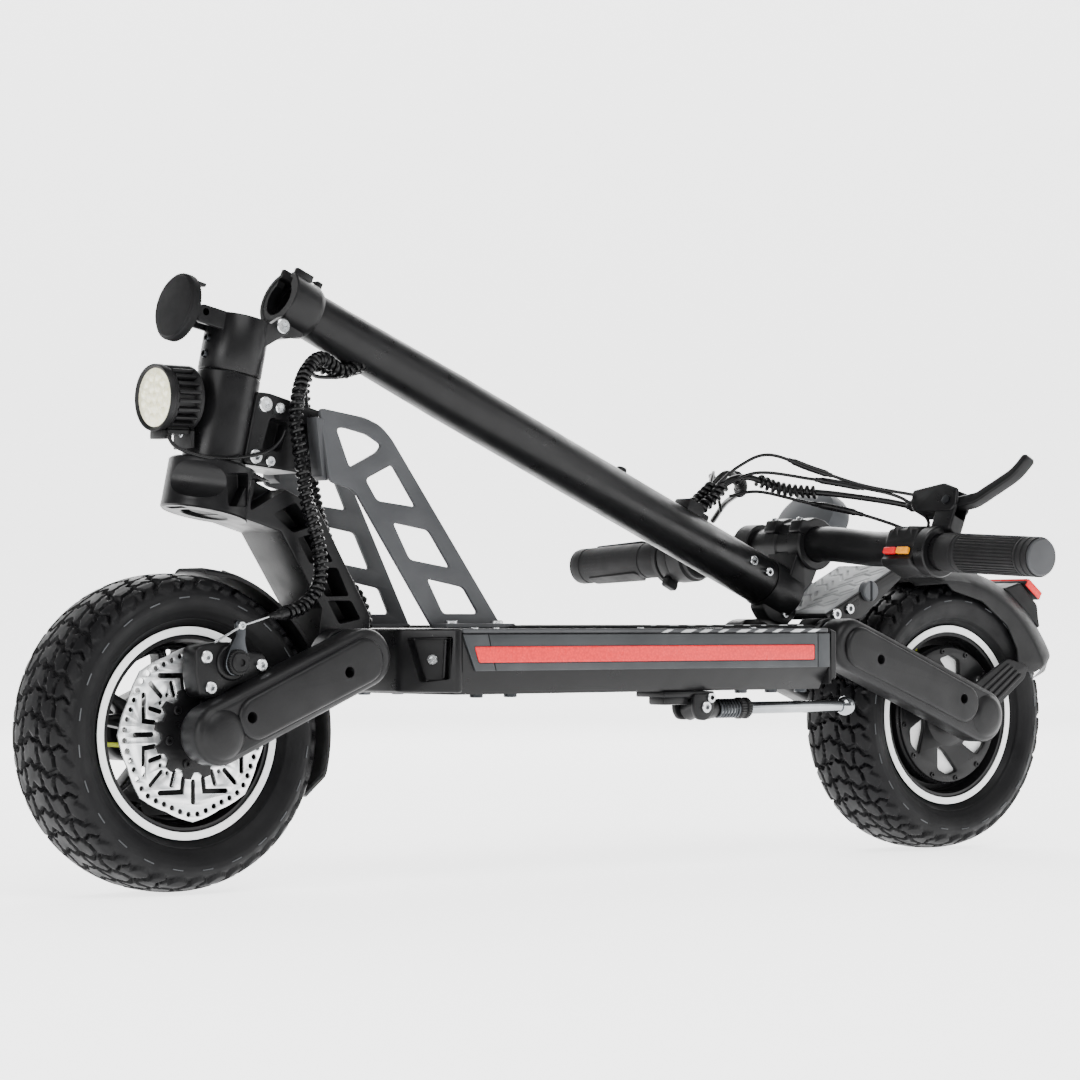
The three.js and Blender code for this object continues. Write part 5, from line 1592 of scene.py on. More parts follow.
    def tail(self) -> None:
        """Builds the tail casting that the rear arms turn on."""
        pivot = joint_point("rear_suspension", PLACES.world)
        px, pz = pivot.x, pivot.z
        front = self.rear + 0.3
        shape = Shape().plate([(front, self.floor + 2), (px - 14, self.floor + 8),
            *arc((px, pz), 22, -50, 60, 14), (px - 8, self.cover_top), (front, self.cover_top)], (-46, 46),
            bevel=2.0, steps=3)
        shape.plate(rounded([(front, self.floor + 4), (front + 9, self.floor + 10),
            (front + 9, self.cover_top - 3), (front, self.cover_top)], 1), (-self.half, self.half), bevel=2)
        for side in Side:
            y = side.value
            shape.lathe([(14, y * 44), (23, y * 44), (24, y * 45.5), (24, y * 50), (22.6, y * 51.4),
                (14, y * 51.4)], Axis.Y, sides=48, loop=True, centre=(px, pz))
        shape.finish("deck_tail_casting", PLACES.world, "frame", FINISH.coat, ["tail_casting"])
        bolts = Shape()
        for y in (-78, -60, 60, 78):
            for z in (178, 196):
                screw(bolts, (front + 8.8, y, z), 3.4, 2, REARWARD)
        bolts.finish("deck_tail_screws", PLACES.world, "frame", FINISH.zinc)


@dataclass
class FootRest:
    """The sloping rest behind the deck, with its rubber mat."""

    low: Point2 = (260.0, 221.3)
    high: Point2 = (356.0, 267.3)
    half: float = 41.0
    cover_top: float = 209.3

    def build(self) -> None:
        """Builds the plate, its cheeks, the mat and the bolts."""
        (lx, lz), (hx, hz), c = self.low, self.high, self.cover_top
        shape = Shape().plate(rounded([(lx, lz), (lx + 2, lz - 5), (hx + 2, hz - 5), (hx, hz)], 1.5),
            (-self.half, self.half), bevel=1.2)
        for side in Side:
            near, far = side.span(self.half, self.half - 4)
            shape.plate(rounded([(225, c + 0.3), (lx - 12, c + 0.3), (lx + 2, c + 7), (lx + 44, c + 8),
                (hx + 1, hz - 12), (hx + 1, hz - 3), (lx + 1, lz - 3), (233, c + 8)], 2), (near, far),
                bevel=0.8)
        shape.finish("foot_rest_casting", PLACES.world, "frame", FINISH.coat, ["foot_rest"])
        bolts = Shape()
        peg = Shape()
        for side in Side:
            y = side.value * self.half
            screw(bolts, (lx + 12, y, c + 12.5), 5.4, 2.6, sign=side.value)
            screw(bolts, (lx + 29, y, c + 17.5), 5.0, 2.6, sign=side.value)
            peg.lathe([(9.5, y - side.value * 3), (9.5, y + side.value * 3.2), (8.3, y + side.value * 4.2),
                (2, y + side.value * 4.2)], Axis.Y, sides=40, centre=(lx + 54, c + 34))
            groove = Shape().block((lx + 52.4, min(y, y + side.value * 9), c + 22),
                (lx + 55.6, max(y, y + side.value * 9), c + 46), 0.4)
            peg.cut(groove)
        bolts.finish("foot_rest_screws", PLACES.world, "frame", FINISH.zinc)
        peg.finish("foot_rest_pegs", PLACES.world, "frame", FINISH.nylon)
        self._mat()

    def _mat(self) -> None:
        """Builds the mat as one skin with track grooves."""
        start, end = Vector((self.low[0], 0, self.low[1])), Vector((self.high[0], 0, self.high[1]))
        way = (end - start).normalized()
        out = Vector((-way.z, 0, way.x))
        length = (end - start).length
        lines: list[list[Point2]] = []
        for k in range(5):
            s = 4 + 22 * k
            for sign in (-1, 1):
                lines.append([(s, sign * 2), (s + 13, sign * 15), (s + 9, sign * 27), (s + 22, sign * 39)])
                lines.append([(s + 10, sign * 5), (s + 20, sign * 13)])
                lines.append([(s + 15, sign * 22), (s + 24, sign * 31)])
        columns, rows = 118, 90
        grid = []
        for i in range(columns + 1):
            s = 3 + (length - 6) * i / columns
            row = []
            for k in range(rows + 1):
                t = -37.5 + 75 * k / rows
                gap = min(line_distance(line, (s, t)) for line in lines)
                depth = 1.5 * max(0.0, 1 - (gap / 1.5) ** 2)
                edge = min(s - 3, length - 3 - s, 37.5 - abs(t))
                lift = 0.2 + 2.4 * min(1.0, edge / 1.6) - (depth if edge > 2 else 0)
                row.append(start + way * s + out * lift + Vector((0, t, 0)))
            grid.append(row)
        shape = Shape().grid(grid, closed=False, caps=False)
        base = bmesh.ops.extrude_edge_only(shape.bm, edges=[e for e in shape.bm.edges if e.is_boundary])
        moved = [v for v in base["geom"] if isinstance(v, bmesh.types.BMVert)]
        for vert in moved:
            vert.co -= out * 0.4
        bmesh.ops.contextual_create(shape.bm, geom=[e for e in shape.bm.edges if e.is_boundary])
        shape.finish("foot_rest_mat", PLACES.world, "frame", FINISH.pale_mat, sharp=60)


@dataclass
class Kickstand:
    """The stand under the deck: bracket, collar, spring and rod."""

    reach: float = 188.0

    def build(self) -> None:
        """Builds the bracket on the deck and the leg that swings."""
        spot = joint_point("stand_swing", PLACES.world)
        x, y, z = spot
        top = 154.7
        bracket = Shape().block((x - 44, y - 12, top - 5), (x + 14, y + 26, top), 1.2)
        bracket.block((x - 42, y - 9, z + 3), (x - 14, y + 12, top - 3), 2.0)
        for sign in (-1, 1):
            low, high = sorted((y + sign * 10.6, y + sign * 14.8))
            bracket.plate(rounded([(x - 12, top - 2), (x + 12, top - 2), (x + 11, z - 3), (x + 3, z - 11),
                (x - 8, z - 10), (x - 13, z - 2)], 4), (low, high), bevel=1.0)
        bracket.finish("kickstand_mount", PLACES.world, "frame", FINISH.coat, ["kickstand_bracket"])
        bolts = Shape()
        screw(bolts, (x + 1, y - 14.6, z + 1), 5.0, 2.6)
        screw(bolts, (x + 7, y - 14.6, z + 9), 4.4, 2.4)
        bolts.finish("kickstand_bolts", PLACES.world, "frame", FINISH.zinc)
        body = Shape().lathe([(8.6, -8), (9, -7.4), (9, 7.4), (8.6, 8)], Axis.Y, sides=40)
        body.moved(Matrix.Translation((x, y, z)) @ Matrix.Rotation(math.radians(-20), 4, "X"))
        body.lathe([(3, x + 2), (8, x + 3), (9.4, x + 8), (9.4, x + 17), (8.6, x + 19), (8.6, x + 22),
            (6.4, x + 23), (6.4, x + 28)], Axis.X, sides=40, centre=(y, z - 1))
        knurl = [(9.6 if k % 2 else 9.0) for k in range(48)]
        rings = []
        for run, share in ((x + 50, 0.9), (x + 51, 1), (x + 55, 1), (x + 56, 0.82), (x + 58, 0.82),
                    (x + 59, 1),
                           (x + 62, 1), (x + 63, 0.88)):
            rings.append([Vector((run, y + r * share * math.cos(a), z - 1 + r * share * math.sin(a)))
                for r, a in zip(knurl, turns(48))])
        body.grid(rings)
        body.finish("kickstand_collars", PLACES.world, "stand", FINISH.coat)
        rod = Shape()
        end = x + self.reach
        rod.lathe([(4.6, x + 24), (5.4, x + 26), (5.4, end - 12), (4.8, end - 10), (4.8, end - 8)], Axis.X,
            sides=32, centre=(y, z - 1))
        ball = [(0.4, end - 9)] + [(9 * math.sin(math.radians(a)), end - 4 - 9 * math.cos(math.radians(a)))
            for a in range(40, 180, 10)]
        rod.lathe(ball, Axis.X, sides=40, centre=(y, z - 1))
        rod.finish("kickstand_rod", PLACES.world, "stand", FINISH.chrome, ["kickstand_leg"])
        coils, steps = 7, 16
        coil = [Vector((x + 25 + 25 * i / (coils * steps), y + 7.6 * math.cos(2 * math.pi * i / steps),
            z - 1 + 7.6 * math.sin(2 * math.pi * i / steps))) for i in range(coils * steps + 1)]
        spring = Shape().tube(coil, 1.15, 8)
        spring.finish("kickstand_spring", PLACES.world, "stand", FINISH.dark_steel)


@dataclass
class Fenders:
    """Both fenders and the tail light."""

    tyre: float = 127.0
    gap: float = 3.5
    rear_half: float = 50.0
    front_half: float = 42.0
    sheet: float = 2.8

    def build(self) -> None:
        """Builds the front and rear fenders and the lamp on the rear one."""
        self.front()
        self.rear()
        self.lamp()

    def band(self, start: float, end: float, first: float, last: float, half: float, curl: float,
             more: float = 0.0, knee: float = 0.72) -> Shape:
        """A curved sheet around a wheel, its long edges curled towards the tyre.

        Args:
            start: angle of its first end.
            end: angle of its last end.
            first: inner radius at the first end.
            last: inner radius at the last end.
            half: half its width.
            curl: how far its edges turn in at the first end.
            more: how much further they turn in at the last end.
            knee: share of the half width where the turn begins.

        Returns:
            The sheet.
        """
        steps, across = 56, 22
        rings = []
        for i in range(steps + 1):
            share = i / steps
            radius = first + (last - first) * share**2
            a = math.radians(start + (end - start) * share)
            tip = min(1.0, 0.55 + 6 * min(share, 1 - share))
            ring = []
            for layer, sign in ((0.0, 1), (self.sheet, -1)):
                for k in range(across + 1):
                    t = (-1 + 2 * k / across) * sign
                    bend = max(0.0, (abs(t) - knee) / (1 - knee))
                    reach = radius + layer - (curl + more * share) * bend**2
                    ring.append(Vector((reach * math.cos(a), t * (half * tip - (0.3 if layer else 0)),
                        reach * math.sin(a))))
            rings.append(ring)
        return Shape().grid(rings)

    def front(self) -> None:
        """Builds the thin fender behind the front tyre, with its raised middle."""
        inner = self.tyre + self.gap
        shape = self.band(80, -24, inner, inner + 1.5, self.front_half, 3.0)
        for y in (-24, 24):
            low = arc((0, 0), inner + 2.4, 74, -14, 40)
            high = arc((0, 0), inner + 4.2, 74, -14, 40)
            shape.plate([*low, *reversed(high)], (y - 1.4, y + 1.4), bevel=0.6)
        shape.finish("front_fender_sheet", PLACES.front, "front_arm", FINISH.plastic, ["front_fender"],
            sharp=40)

    def rear(self) -> None:
        """Builds the rear fender with its flared tail and ribbed stays."""
        first = self.tyre + self.gap + 5
        start, end, curl, more = 108.0, 15.0, 8.0, 27.0
        shape = self.band(start, end, first, first + 22, self.rear_half, curl, more, 0.42)
        rim = []
        for angle in (100, 90, 80, 70, 60, 50, 42, 34, 27, 22):
            share = (start - angle) / (start - end)
            rim.append(polar(first + 3 + 22 * share**2 - curl - more * share, angle))
        hem = [polar(108, 21), polar(93, 26), polar(91, 32), polar(98, 38.5), polar(105, 53),
            polar(111, 75), polar(118, 96)]
        for side in Side:
            near, far = side.span(self.rear_half - 2.9, self.rear_half - 0.2)
            shape.plate(rounded([*rim, *hem], 4), (near, far), bevel=1.0)
            stay = [(10, 20), (22, -6), (42, 3), (86, 34), (91, 46), (62, 53), (13, 27)]
            near, far = side.span(self.rear_half - 2.6, self.rear_half + 0.4)
            shape.plate(rounded(stay, 4), (near, far), bevel=0.9)
            near, far = side.span(self.rear_half, self.rear_half + 1.9)
            for k in range(4):
                share = (k + 0.5) / 4
                a, b = (16 + 23 * share, 21 - 16 * share), (60 + 21 * share, 48 - 13 * share)
                shape.plate(capsule(a, b, 1.7, 1.7, 6), (near, far), bevel=0.8)
        seat = self.tyre + self.gap + 28.5
        shape.plate(rounded([polar(seat - 18, 58), polar(seat + 0.5, 52), polar(seat + 1.5, 40.5),
            polar(seat - 10, 33)], 3), (-34, 34), bevel=2)
        shape.finish("rear_fender_sheet", PLACES.rear, "rear_arm", FINISH.plastic, ["rear_fender"], sharp=40)

    def lamp(self) -> None:
        """Builds the tail light: a black tray with a ribbed red lens."""
        angle = 46.0
        x, z = polar(self.tyre + self.gap + 36, angle)
        place = PLACES.rear @ Matrix.Translation((x, 0.0, z))
        place = place @ Matrix.Rotation(math.radians(90 - angle) - 0.12, 4, "Y")
        tray = Shape().block((-13, -35, -4.5), (13, 35, 0.6), 1.6)
        tray.finish("tail_light_tray", place, "rear_arm", FINISH.plastic)
        lens = Shape().block((-12, -34, 0.4), (12, 34, 3.6), 1.4)
        for k in range(13):
            y = -30 + 5 * k
            lens.block((-10.5, y - 1.7, 3.0), (10.5, y + 1.7, 4.4), 0.6, 1)
        for side in Side:
            near, far = side.span(33.0, 35.5)
            lens.block((-11.6, near, -4.2), (11.6, far, 3.4), 0.7, 2)
        lens.finish("tail_light_lens", place, "rear_arm", FINISH.red, ["tail_light"])


@dataclass
class Stem:
    """The folding stem: hinge collar and tube, with the small parts on them.

    Args:
        axis: the tube's axis beside the fold pin.
        radius: of the tube.
        length: of the tube.
    """

    axis: float = -28.0
    radius: float = 22.0
    wall: float = 3.0
    start: float = 14.0
    length: float = 585.0
    neck: float = 20.0
    collar: float = 24.6
    collar_length: float = 33.0
    entry: float = 484.0
    exit: float = 84.0

    def build(self) -> None:
        """Builds the tube, the collar and the small parts on them."""
        self.tube()
        self.hinge_collar()
        self.fittings()

    def tube(self) -> None:
        """Builds the tube with its two cable openings."""
        r, inner, a = self.radius, self.radius - self.wall, self.axis
        shape = Shape()
        low = self.neck
        shape.lathe([(low - self.wall, self.start), (low - 0.6, self.start), (low, self.start + 0.8),
            (low, self.collar_length + 4), (r, 190), (r, self.length - 1), (r - 0.8, self.length),
            (inner, self.length), (inner, 190), (low - self.wall, self.collar_length + 4)], Axis.Z,
            sides=96, loop=True, centre=(a, 0))
        tool = Shape()
        slot = capsule((self.exit - 8, 0), (self.exit + 8, 0), 9, steps=8)
        tool.plate(slot, (-a - 4, 30), Axis.Z, bevel=0.5)
        tool.moved(Matrix(((0, 0, -1, 0), (0, 1, 0, 0), (1, 0, 0, 0), (0, 0, 0, 1))))
        for vert in tool.bm.verts:
            vert.co.x = a + abs(vert.co.x) - 6
        shape.cut(tool)
        upper = Shape().block((a - r - 8, -9, self.entry - 11), (a - 8, 9, self.entry + 11), 3)
        shape.cut(upper)
        shape.finish("stem_tube_anodised", PLACES.stem, "stem", FINISH.coat, ["stem_tube"], sharp=40)

    def hinge_collar(self) -> None:
        """Builds the collar: a slotted cup, its rib and the tongue of the hinge."""
        a, r, top = self.axis, self.collar, self.collar_length
        shape = Shape().lathe([(self.neck + 0.3, 0.8), (r - 1.0, 0.8), (r, 1.8), (r, top - 7),
            (r - 0.8, top - 4), (self.neck + 2.2, top - 0.6), (self.neck + 0.3, top)], Axis.Z, sides=96,
            loop=True, centre=(a, 0))
        tongue = Shape().plate([(-18, 0.8), (-2, 0.8), (-1, 0), (0, -7.6), *arc((0, 0), 7.8, -80, 40, 10),
            (4, 14), (-4, 27), (-18, 28)], (-12.8, 12.8), bevel=1.2)
        slot = Shape().block((-72, -6.4, -3), (a - 12, 6.4, 19), 1.5)
        hollow = Shape().lathe([(self.neck + 0.3, -4), (self.neck + 0.3, top + 4)], Axis.Z, sides=96,
            centre=(a, 0))
        tongue.cut(hollow)
        shape.cut(slot)
        shape.absorb(tongue)
        for sign in (-1, 1):
            shape.block((a - r - 2.8, min(sign * 7, sign * 12), 1.5), (a - r + 4, max(sign * 7, sign * 12),
                19), 0.8)
        shape.block((a - r - 3.0, -8, 26), (a - r + 4, 8, 32), 1.0)
        lip = Shape().lathe([(15.5, 1.2), (self.neck + 1, 1.2), (self.neck + 1, 8), (15.5, 8)], Axis.Z,
            sides=96, loop=True, centre=(a, 0))
        gap = Shape().block((-72, -10, -3), (a - 6, 10, 19), 1.0)
        lip.cut(gap)
        shape.absorb(lip)
        shape.finish("stem_hinge_collar", PLACES.stem, "stem", FINISH.coat, ["stem_collar"], sharp=35)

    def fittings(self) -> None:
        """Builds the grommets, the catch stud and the screws at the stem's end."""
        a, r = self.axis, self.radius
        soft = Shape().block((a - r - 9, -11, self.entry - 16), (a - r + 3, 11, self.entry + 4), 2.2)
        soft.block((a - r - 4, -8, self.entry + 2), (a - r + 3, 8, self.entry + 14), 2.0)
        soft.finish("stem_cable_grommet", PLACES.stem, "stem", FINISH.plastic)
        stud = Shape().lathe([(5, a - r + 1), (5, a - r - 1.5), (4.2, a - r - 3.4), (2, a - r - 4.2),
            (0.4, a - r - 4.3)], Axis.X, sides=24, centre=(0, 392))
        stud.finish("stem_rest_stud", PLACES.stem, "stem", FINISH.plastic)
        bolts = Shape()
        for side in Side:
            y = side.value
            for x, z, size in ((a - 5, 551, 4.6), (a - 3, 572, 4.2)):
                out = math.sqrt(r * r - (x - a) ** 2) - 0.4
                screw(bolts, (x, y * out, z), size, 2.4, sign=side.value)
        bolts.finish("stem_end_screws", PLACES.stem, "stem", FINISH.zinc)


class Bar:
    """The centre line of the handlebar, in the stem's place."""

    bar_x = -78.0
    height = 616.0
    half = 310.0
    bend = 105.0
    radius = 15.9

    @classmethod
    def point(cls, y: float) -> Vector:
        """A point of the centre line at a distance from the middle."""
        t = min(1.0, max(0.0, (abs(y) - 30) / (cls.bend - 30)))
        rise = t * t * (3 - 2 * t)
        sweep = max(abs(y) - cls.bend, 0) / (cls.half - cls.bend)
        return Vector((cls.bar_x + 3 * rise + 15 * sweep, y, cls.height + 8 * rise - 8 * sweep))

    @classmethod
    def straight(cls, side: Side) -> Matrix:
        """The place of a straight half: Y runs along the bar, measured from the scooter's middle."""
        start, end = cls.point(side.value * cls.bend), cls.point(side.value * cls.half)
        along = (end - start).normalized() * side.value
        across = Vector((1, 0, 0))
        across = (across - along * across.dot(along)).normalized()
        up = across.cross(along)
        place = Matrix(((across.x, along.x, up.x, start.x), (across.y, along.y, up.y, start.y),
            (across.z, along.z, up.z, start.z), (0, 0, 0, 1)))
        return PLACES.stem @ place @ Matrix.Translation((0, -side.value * cls.bend, 0))


@dataclass
class Handlebar:
    """The bar, its clamp and everything on it except the cables."""

    sleeve: float = 17.4

    def build(self) -> None:
        """Builds the bar and every control."""
        self.bar()
        self.clamp()
        self.near_grip()
        self.far_grip()
        self.pod()
        self.lever()
        self.throttle()
        self.display()

    def bar(self) -> None:
        """Builds the bar with its rise and sweep."""
        spots = [Bar.point(6 * k - 306) for k in range(103)]
        shape = Shape().tube(spots, Bar.radius, 48)
        shape.finish("handlebar_tube", PLACES.stem, "stem", FINISH.coat, ["handlebar"])

    def clamp(self) -> None:
        """Builds the stem's end collar, the bar clamp in two halves and their screws."""
        x, z = Bar.bar_x, Bar.height
        collar = Shape().lathe([(18.8, 585.3), (22.4, 585.3), (23, 586.2), (23, 618.6), (21.6, 620),
            (4, 620), (4, 585.3)], Axis.Z, sides=80, loop=True, centre=(-28, 0))
        collar.plate(rounded([(x + 2, z - 17), (-26, z - 17), (-26, z + 3.5), (-44, z + 12),
            (x + 2, z + 15)], 4), (-20, 20), bevel=2)
        ring = [(17, -24), (22.6, -24), (24, -22.6), (24, -9), (22.4, -7.5), (22.4, 7.5), (24, 9),
            (24, 22.6), (22.6, 24), (17, 24)]
        rear = Shape().lathe(ring, Axis.Y, sides=64, loop=True, centre=(x, z))
        half = Shape().block((x - 40, -40, z - 40), (x - 0.6, 40, z + 40), 0)
        rear.cut(half)
        bore = Shape().lathe([(Bar.radius + 0.6, -40), (Bar.radius + 0.6, 40)], Axis.Y, sides=64,
            centre=(x, z))
        collar.cut(bore)
        collar.absorb(rear)
        hook = Shape().plate(rounded([(-22, 588), (-3, 588), (4, 600), (2, 622), (-12, 630), (-22, 626)],
            4), (-9, 9), bevel=1.5)
        collar.absorb(hook)
        collar.finish("stem_end_clamp", PLACES.stem, "stem", FINISH.coat, ["stem_end_collar"], sharp=40)
        front = Shape()
        profile = rounded([(x - 1.4, z - 26.5), (x - 13.5, z - 26.5), (x - 16, z - 18), (x - 22, z - 11),
            (x - 24, z), (x - 22, z + 11), (x - 16, z + 18), (x - 13.5, z + 26.5), (x - 1.4, z + 26.5)],
            2.5)
        for low, high in ((-24, -9.5), (9.5, 24)):
            front.plate(profile, (low, high), bevel=1.4)
        front.plate(rounded([(x - 1.4, z - 20), (x - 12, z - 20), (x - 20, z - 9), (x - 20, z + 9),
            (x - 12, z + 20), (x - 1.4, z + 20)], 2.5), (-12, 12), bevel=0.8)
        bore = Shape().lathe([(Bar.radius + 0.6, -40), (Bar.radius + 0.6, 40)], Axis.Y, sides=64,
            centre=(x, z))
        front.cut(bore)
        front.finish("handlebar_clamp_plates", PLACES.stem, "stem", FINISH.coat, ["handlebar_clamp"],
            sharp=35)
        bolts = Shape()
        for y in (-16.7, 16.7):
            for dz in (-21.5, 21.5):
                screw(bolts, (x - 13.6, y, z + dz), 4.2, 2.8, FORWARD)
        for y in (-9.2, 9.2):
            for dx, dz in ((-14, 600), (-8, 616)):
                screw(bolts, (dx, y, dz), 3.6, 2.2, sign=1 if y > 0 else -1)
        bolts.finish("handlebar_clamp_screws", PLACES.stem, "stem", FINISH.zinc)

    def near_grip(self) -> None:
        """Builds the ribbed left grip, its lock rings and its end cap."""
        place = Bar.straight(Side.LEFT)
        s = self.sleeve
        shape = Shape().lathe([(Bar.radius + 0.8, -188.3), (s - 0.4, -188.3), (s, -189), (s, -208),
            (s - 1.4, -208.8), (s - 1.4, -210.4), (s, -211), (s, -213), (s - 0.8, -214), (s - 0.8, -289),
            (s, -290), (s, -291.6), (s - 1.6, -292.2), (s - 1.6, -293.8), (s, -294.4), (s, -298.6),
            (s - 1.6, -299.2), (s - 1.6, -300.4), (s, -301), (s, -306), (Bar.radius + 0.8, -306)], Axis.Y,
            sides=72, loop=True)
        for k in range(36):
            a = 2 * math.pi * k / 36
            rib = Shape().block((-0.75, -288.5, s - 1.4), (0.75, -214.5, s + 0.05), 0.3, 1)
            shape.absorb(rib, Matrix.Rotation(a, 4, "Y"))
        shape.finish("grip_left_ribbed", place, "stem", FINISH.grip, ["grip_left"], sharp=40)
        cap = Shape().lathe([(4, -305.2), (16.0, -305.2), (16.4, -306.6), (16.2, -308.4), (15.0, -309.5),
            (2, -309.9)], Axis.Y, sides=56)
        cap.finish("grip_left_cap", place, "stem", FINISH.sheet, slot="grey_plastic")

    def far_grip(self) -> None:
        """Builds the right grip with its flat side panel."""
        place = Bar.straight(Side.RIGHT)
        s = self.sleeve
        shape = Shape().lathe([(Bar.radius + 0.8, 188.3), (s - 0.4, 188.3), (s, 189), (s, 209),
            (s - 1.2, 210), (s - 1.2, 211.4), (s, 212), (s, 290), (s - 1.4, 291), (s - 1.4, 293), (s, 294),
            (s, 303), (s - 1.5, 307), (s - 4, 309), (3, 309.8), (3, 306.4), (Bar.radius + 0.8, 306.4)],
            Axis.Y, sides=72, loop=True)
        for sign in (-1, 1):
            pad = Shape().plate(rounded([(-9, 216), (9, 216), (7, 286), (-7, 286)], 5), (15.0, s + 0.1),
                Axis.Z, bevel=0.5)
            shape.absorb(pad, Matrix.Rotation(sign * math.pi / 2, 4, "Y"))
        for k in range(30):
            rib = Shape().block((-0.7, 214, s - 1.0), (0.7, 288, s + 0.04), 0.3, 1)
            a = 2 * math.pi * k / 30
            if abs(math.sin(a)) < 0.82:
                shape.absorb(rib, Matrix.Rotation(a, 4, "Y"))
        shape.finish("grip_right_panelled", place, "stem", FINISH.grip, ["grip_right"], sharp=40)

    def pod(self) -> None:
        """Builds the switch pod and the parts of both buttons."""
        bar = Bar.point(-145)
        x, z = bar.x, bar.z
        shape = Shape()
        faces = [(x - 19.6, z - 10), (x - 12, z - 20.6), (x + 1, z - 20.6), (x + 4, z - 18.6),
            (x + 14.4, z - 18.6), (x + 17, z - 20.6), (x + 21.6, z - 16), (x + 21.6, z + 12),
            (x + 12, z + 19.6), (x - 11, z + 19.6), (x - 19.6, z + 11)]
        shape.plate(rounded(faces, 2.5), (-163.6, -126.4), bevel=3.0, steps=3)
        for y0 in (-161, -144):
            gem = Shape()
            tip = Vector((x - 14, y0 + 7.5, z - 22.6))
            ring = [Vector((x - 18, y0, z - 12.5)), Vector((x - 18, y0 + 15, z - 12.5)),
                Vector((x - 3, y0 + 13, z - 20.2)), Vector((x - 3, y0 + 2, z - 20.2))]
            verts = [gem.bm.verts.new(p) for p in ring]
            peak = gem.bm.verts.new(tip)
            for i in range(4):
                gem.bm.faces.new((verts[i], verts[(i + 1) % 4], peak))
            gem.bm.faces.new(verts)
            shape.absorb(gem)
        bore = Shape().lathe([(Bar.radius + 0.6, -175), (Bar.radius + 0.6, -115)], Axis.Y, sides=48)
        shape.cut(bore.moved(PLACES.stem.inverted() @ Bar.straight(Side.LEFT)))
        seats = Shape()
        for name in ("horn_button", "signal_button"):
            low, high = (PLACES.stem.inverted() @ corner for corner in self._corners(name))
            seats.block((low.x + 1.3, low.y - 2.7, low.z - 6), (high.x - 1.3, high.y + 2.7, high.z + 1.8),
                0.2, 1)
        shape.cut(seats)
        shape.finish("switch_pod_housing", PLACES.stem, "stem", FINISH.plastic, ["switch_pod"], sharp=30)
        for name, body, slot, finish in (("horn_button", "horn", "red_lens", FINISH.button_red),
                                         ("signal_button", "signal", "amber_button", FINISH.button_amber)):
            low, high = (PLACES.stem.inverted() @ corner for corner in self._corners(name))
            key = Shape().block((low.x + 2, low.y - 2, low.z), (high.x - 2, high.y + 2, high.z), 1.2, 3)
            key.block((low.x + 4, low.y + 1, low.z - 0.25), (low.x + 6, high.y - 1, low.z + 1), 0.4, 1)
            key.finish(f"{name}_cap", PLACES.stem, body, finish, [name], slot=slot)

    @staticmethod
    def _corners(name: str) -> tuple[Vector, Vector]:
        """Corners of a node's box in the stem's place, found from its points."""
        inverse = PLACES.stem.inverted()
        spots = [inverse @ vert.co for vert in frame["nodes"][name].data.vertices]
        low = Vector([min(p[i] for p in spots) for i in range(3)])
        high = Vector([max(p[i] for p in spots) for i in range(3)])
        return PLACES.stem @ low, PLACES.stem @ high

    def lever(self) -> None:
        """Builds the bracket, its post, the blade, the barrel adjuster and the pin."""
        pivot = joint_point("brake_lever_pull", PLACES.stem)
        px, py = pivot.x, pivot.y
        bar = Bar.point(-174)
        x, z = bar.x, bar.z
        ring = Shape().lathe([(Bar.radius + 0.7, -181), (21.6, -181), (22.8, -179.6), (22.8, -168.4),
            (21.6, -167), (Bar.radius + 0.7, -167)], Axis.Y, sides=56, loop=True)
        shape = Shape()
        shape.absorb(ring.moved(PLACES.stem.inverted() @ Bar.straight(Side.LEFT)))
        shape.plate(rounded([(px - 4, z - 8.6), (x - 20, z - 8.6), (x - 17, z - 5), (x - 17, z + 5),
            (x - 20, z + 8.6), (px - 4, z + 8.6)], 2), (-190, -166), bevel=2.2, steps=3)
        box = [(px - 11, -131.5), (px - 17.5, -168), (px - 12, -186), (px + 5, -190.5), (px + 10.5, -186),
            (px + 10.5, -141), (px + 4, -134)]
        shape.plate(rounded(box, 3), (z - 9.8, z + 9.8), Axis.Z, bevel=1.8, steps=3)
        mouth = Shape().block((px - 22, -230, z - 6.5), (px + 14, -169.6, z + 6.5), 0.6)
        shape.cut(mouth)
        shape.finish("lever_mount", PLACES.stem, "stem", FINISH.coat, ["lever_bracket"], sharp=35)
        trim = Shape().lathe([(3, z - 11.6), (4.4, z - 11.4), (4.4, z - 9.6), (3, z - 9.6), (3, z + 9.6),
            (4.4, z + 9.6), (4.4, z + 11.4), (3, z + 11.6)], Axis.Z, sides=24, centre=(px, py))
        screw(trim, (x - 27, -167.6, z), 2.8, 1.8, sign=1)
        trim.finish("lever_pin", PLACES.stem, "stem", FINISH.dark_steel)
        barrel = Shape()
        knurl = [(5.6 if k % 2 else 5.1) for k in range(32)]
        rings = [[Vector((px + r * s * math.cos(a), run, z + r * s * math.sin(a))) for r,
            a in zip(knurl, turns(32))] for run, s in ((-134, 0.7), (-133, 1), (-126, 1), (-125, 0.7),
            (-121, 0.62))]
        barrel.grid(rings)
        barrel.finish("lever_barrel_adjuster", PLACES.stem, "stem", FINISH.coat)
        route = smooth_route([(px + 0.4, py + 4, z), (px - 0.5, py - 11, z), (px - 4, py - 28, z),
            (px - 11.5, py - 41, z), (px - 18, py - 51.5, z), (px - 28, py - 65.5, z),
            (px - 43, py - 76, z)], 2.2)
        count = len(route)
        rings = []
        for i, spot in enumerate(route):
            way = (route[min(i + 1, count - 1)] - route[max(i - 1, 0)]).normalized()
            side = Vector((way.y, -way.x, 0))
            share = i / (count - 1)
            wide = (5.4 if share < 0.36 else 4.9) * (1 - 0.12 * share) * (0.72 if share > 0.985 else 1)
            tall = (6.0 if share < 0.3 else 5.6) * (0.72 if share > 0.985 else 1)
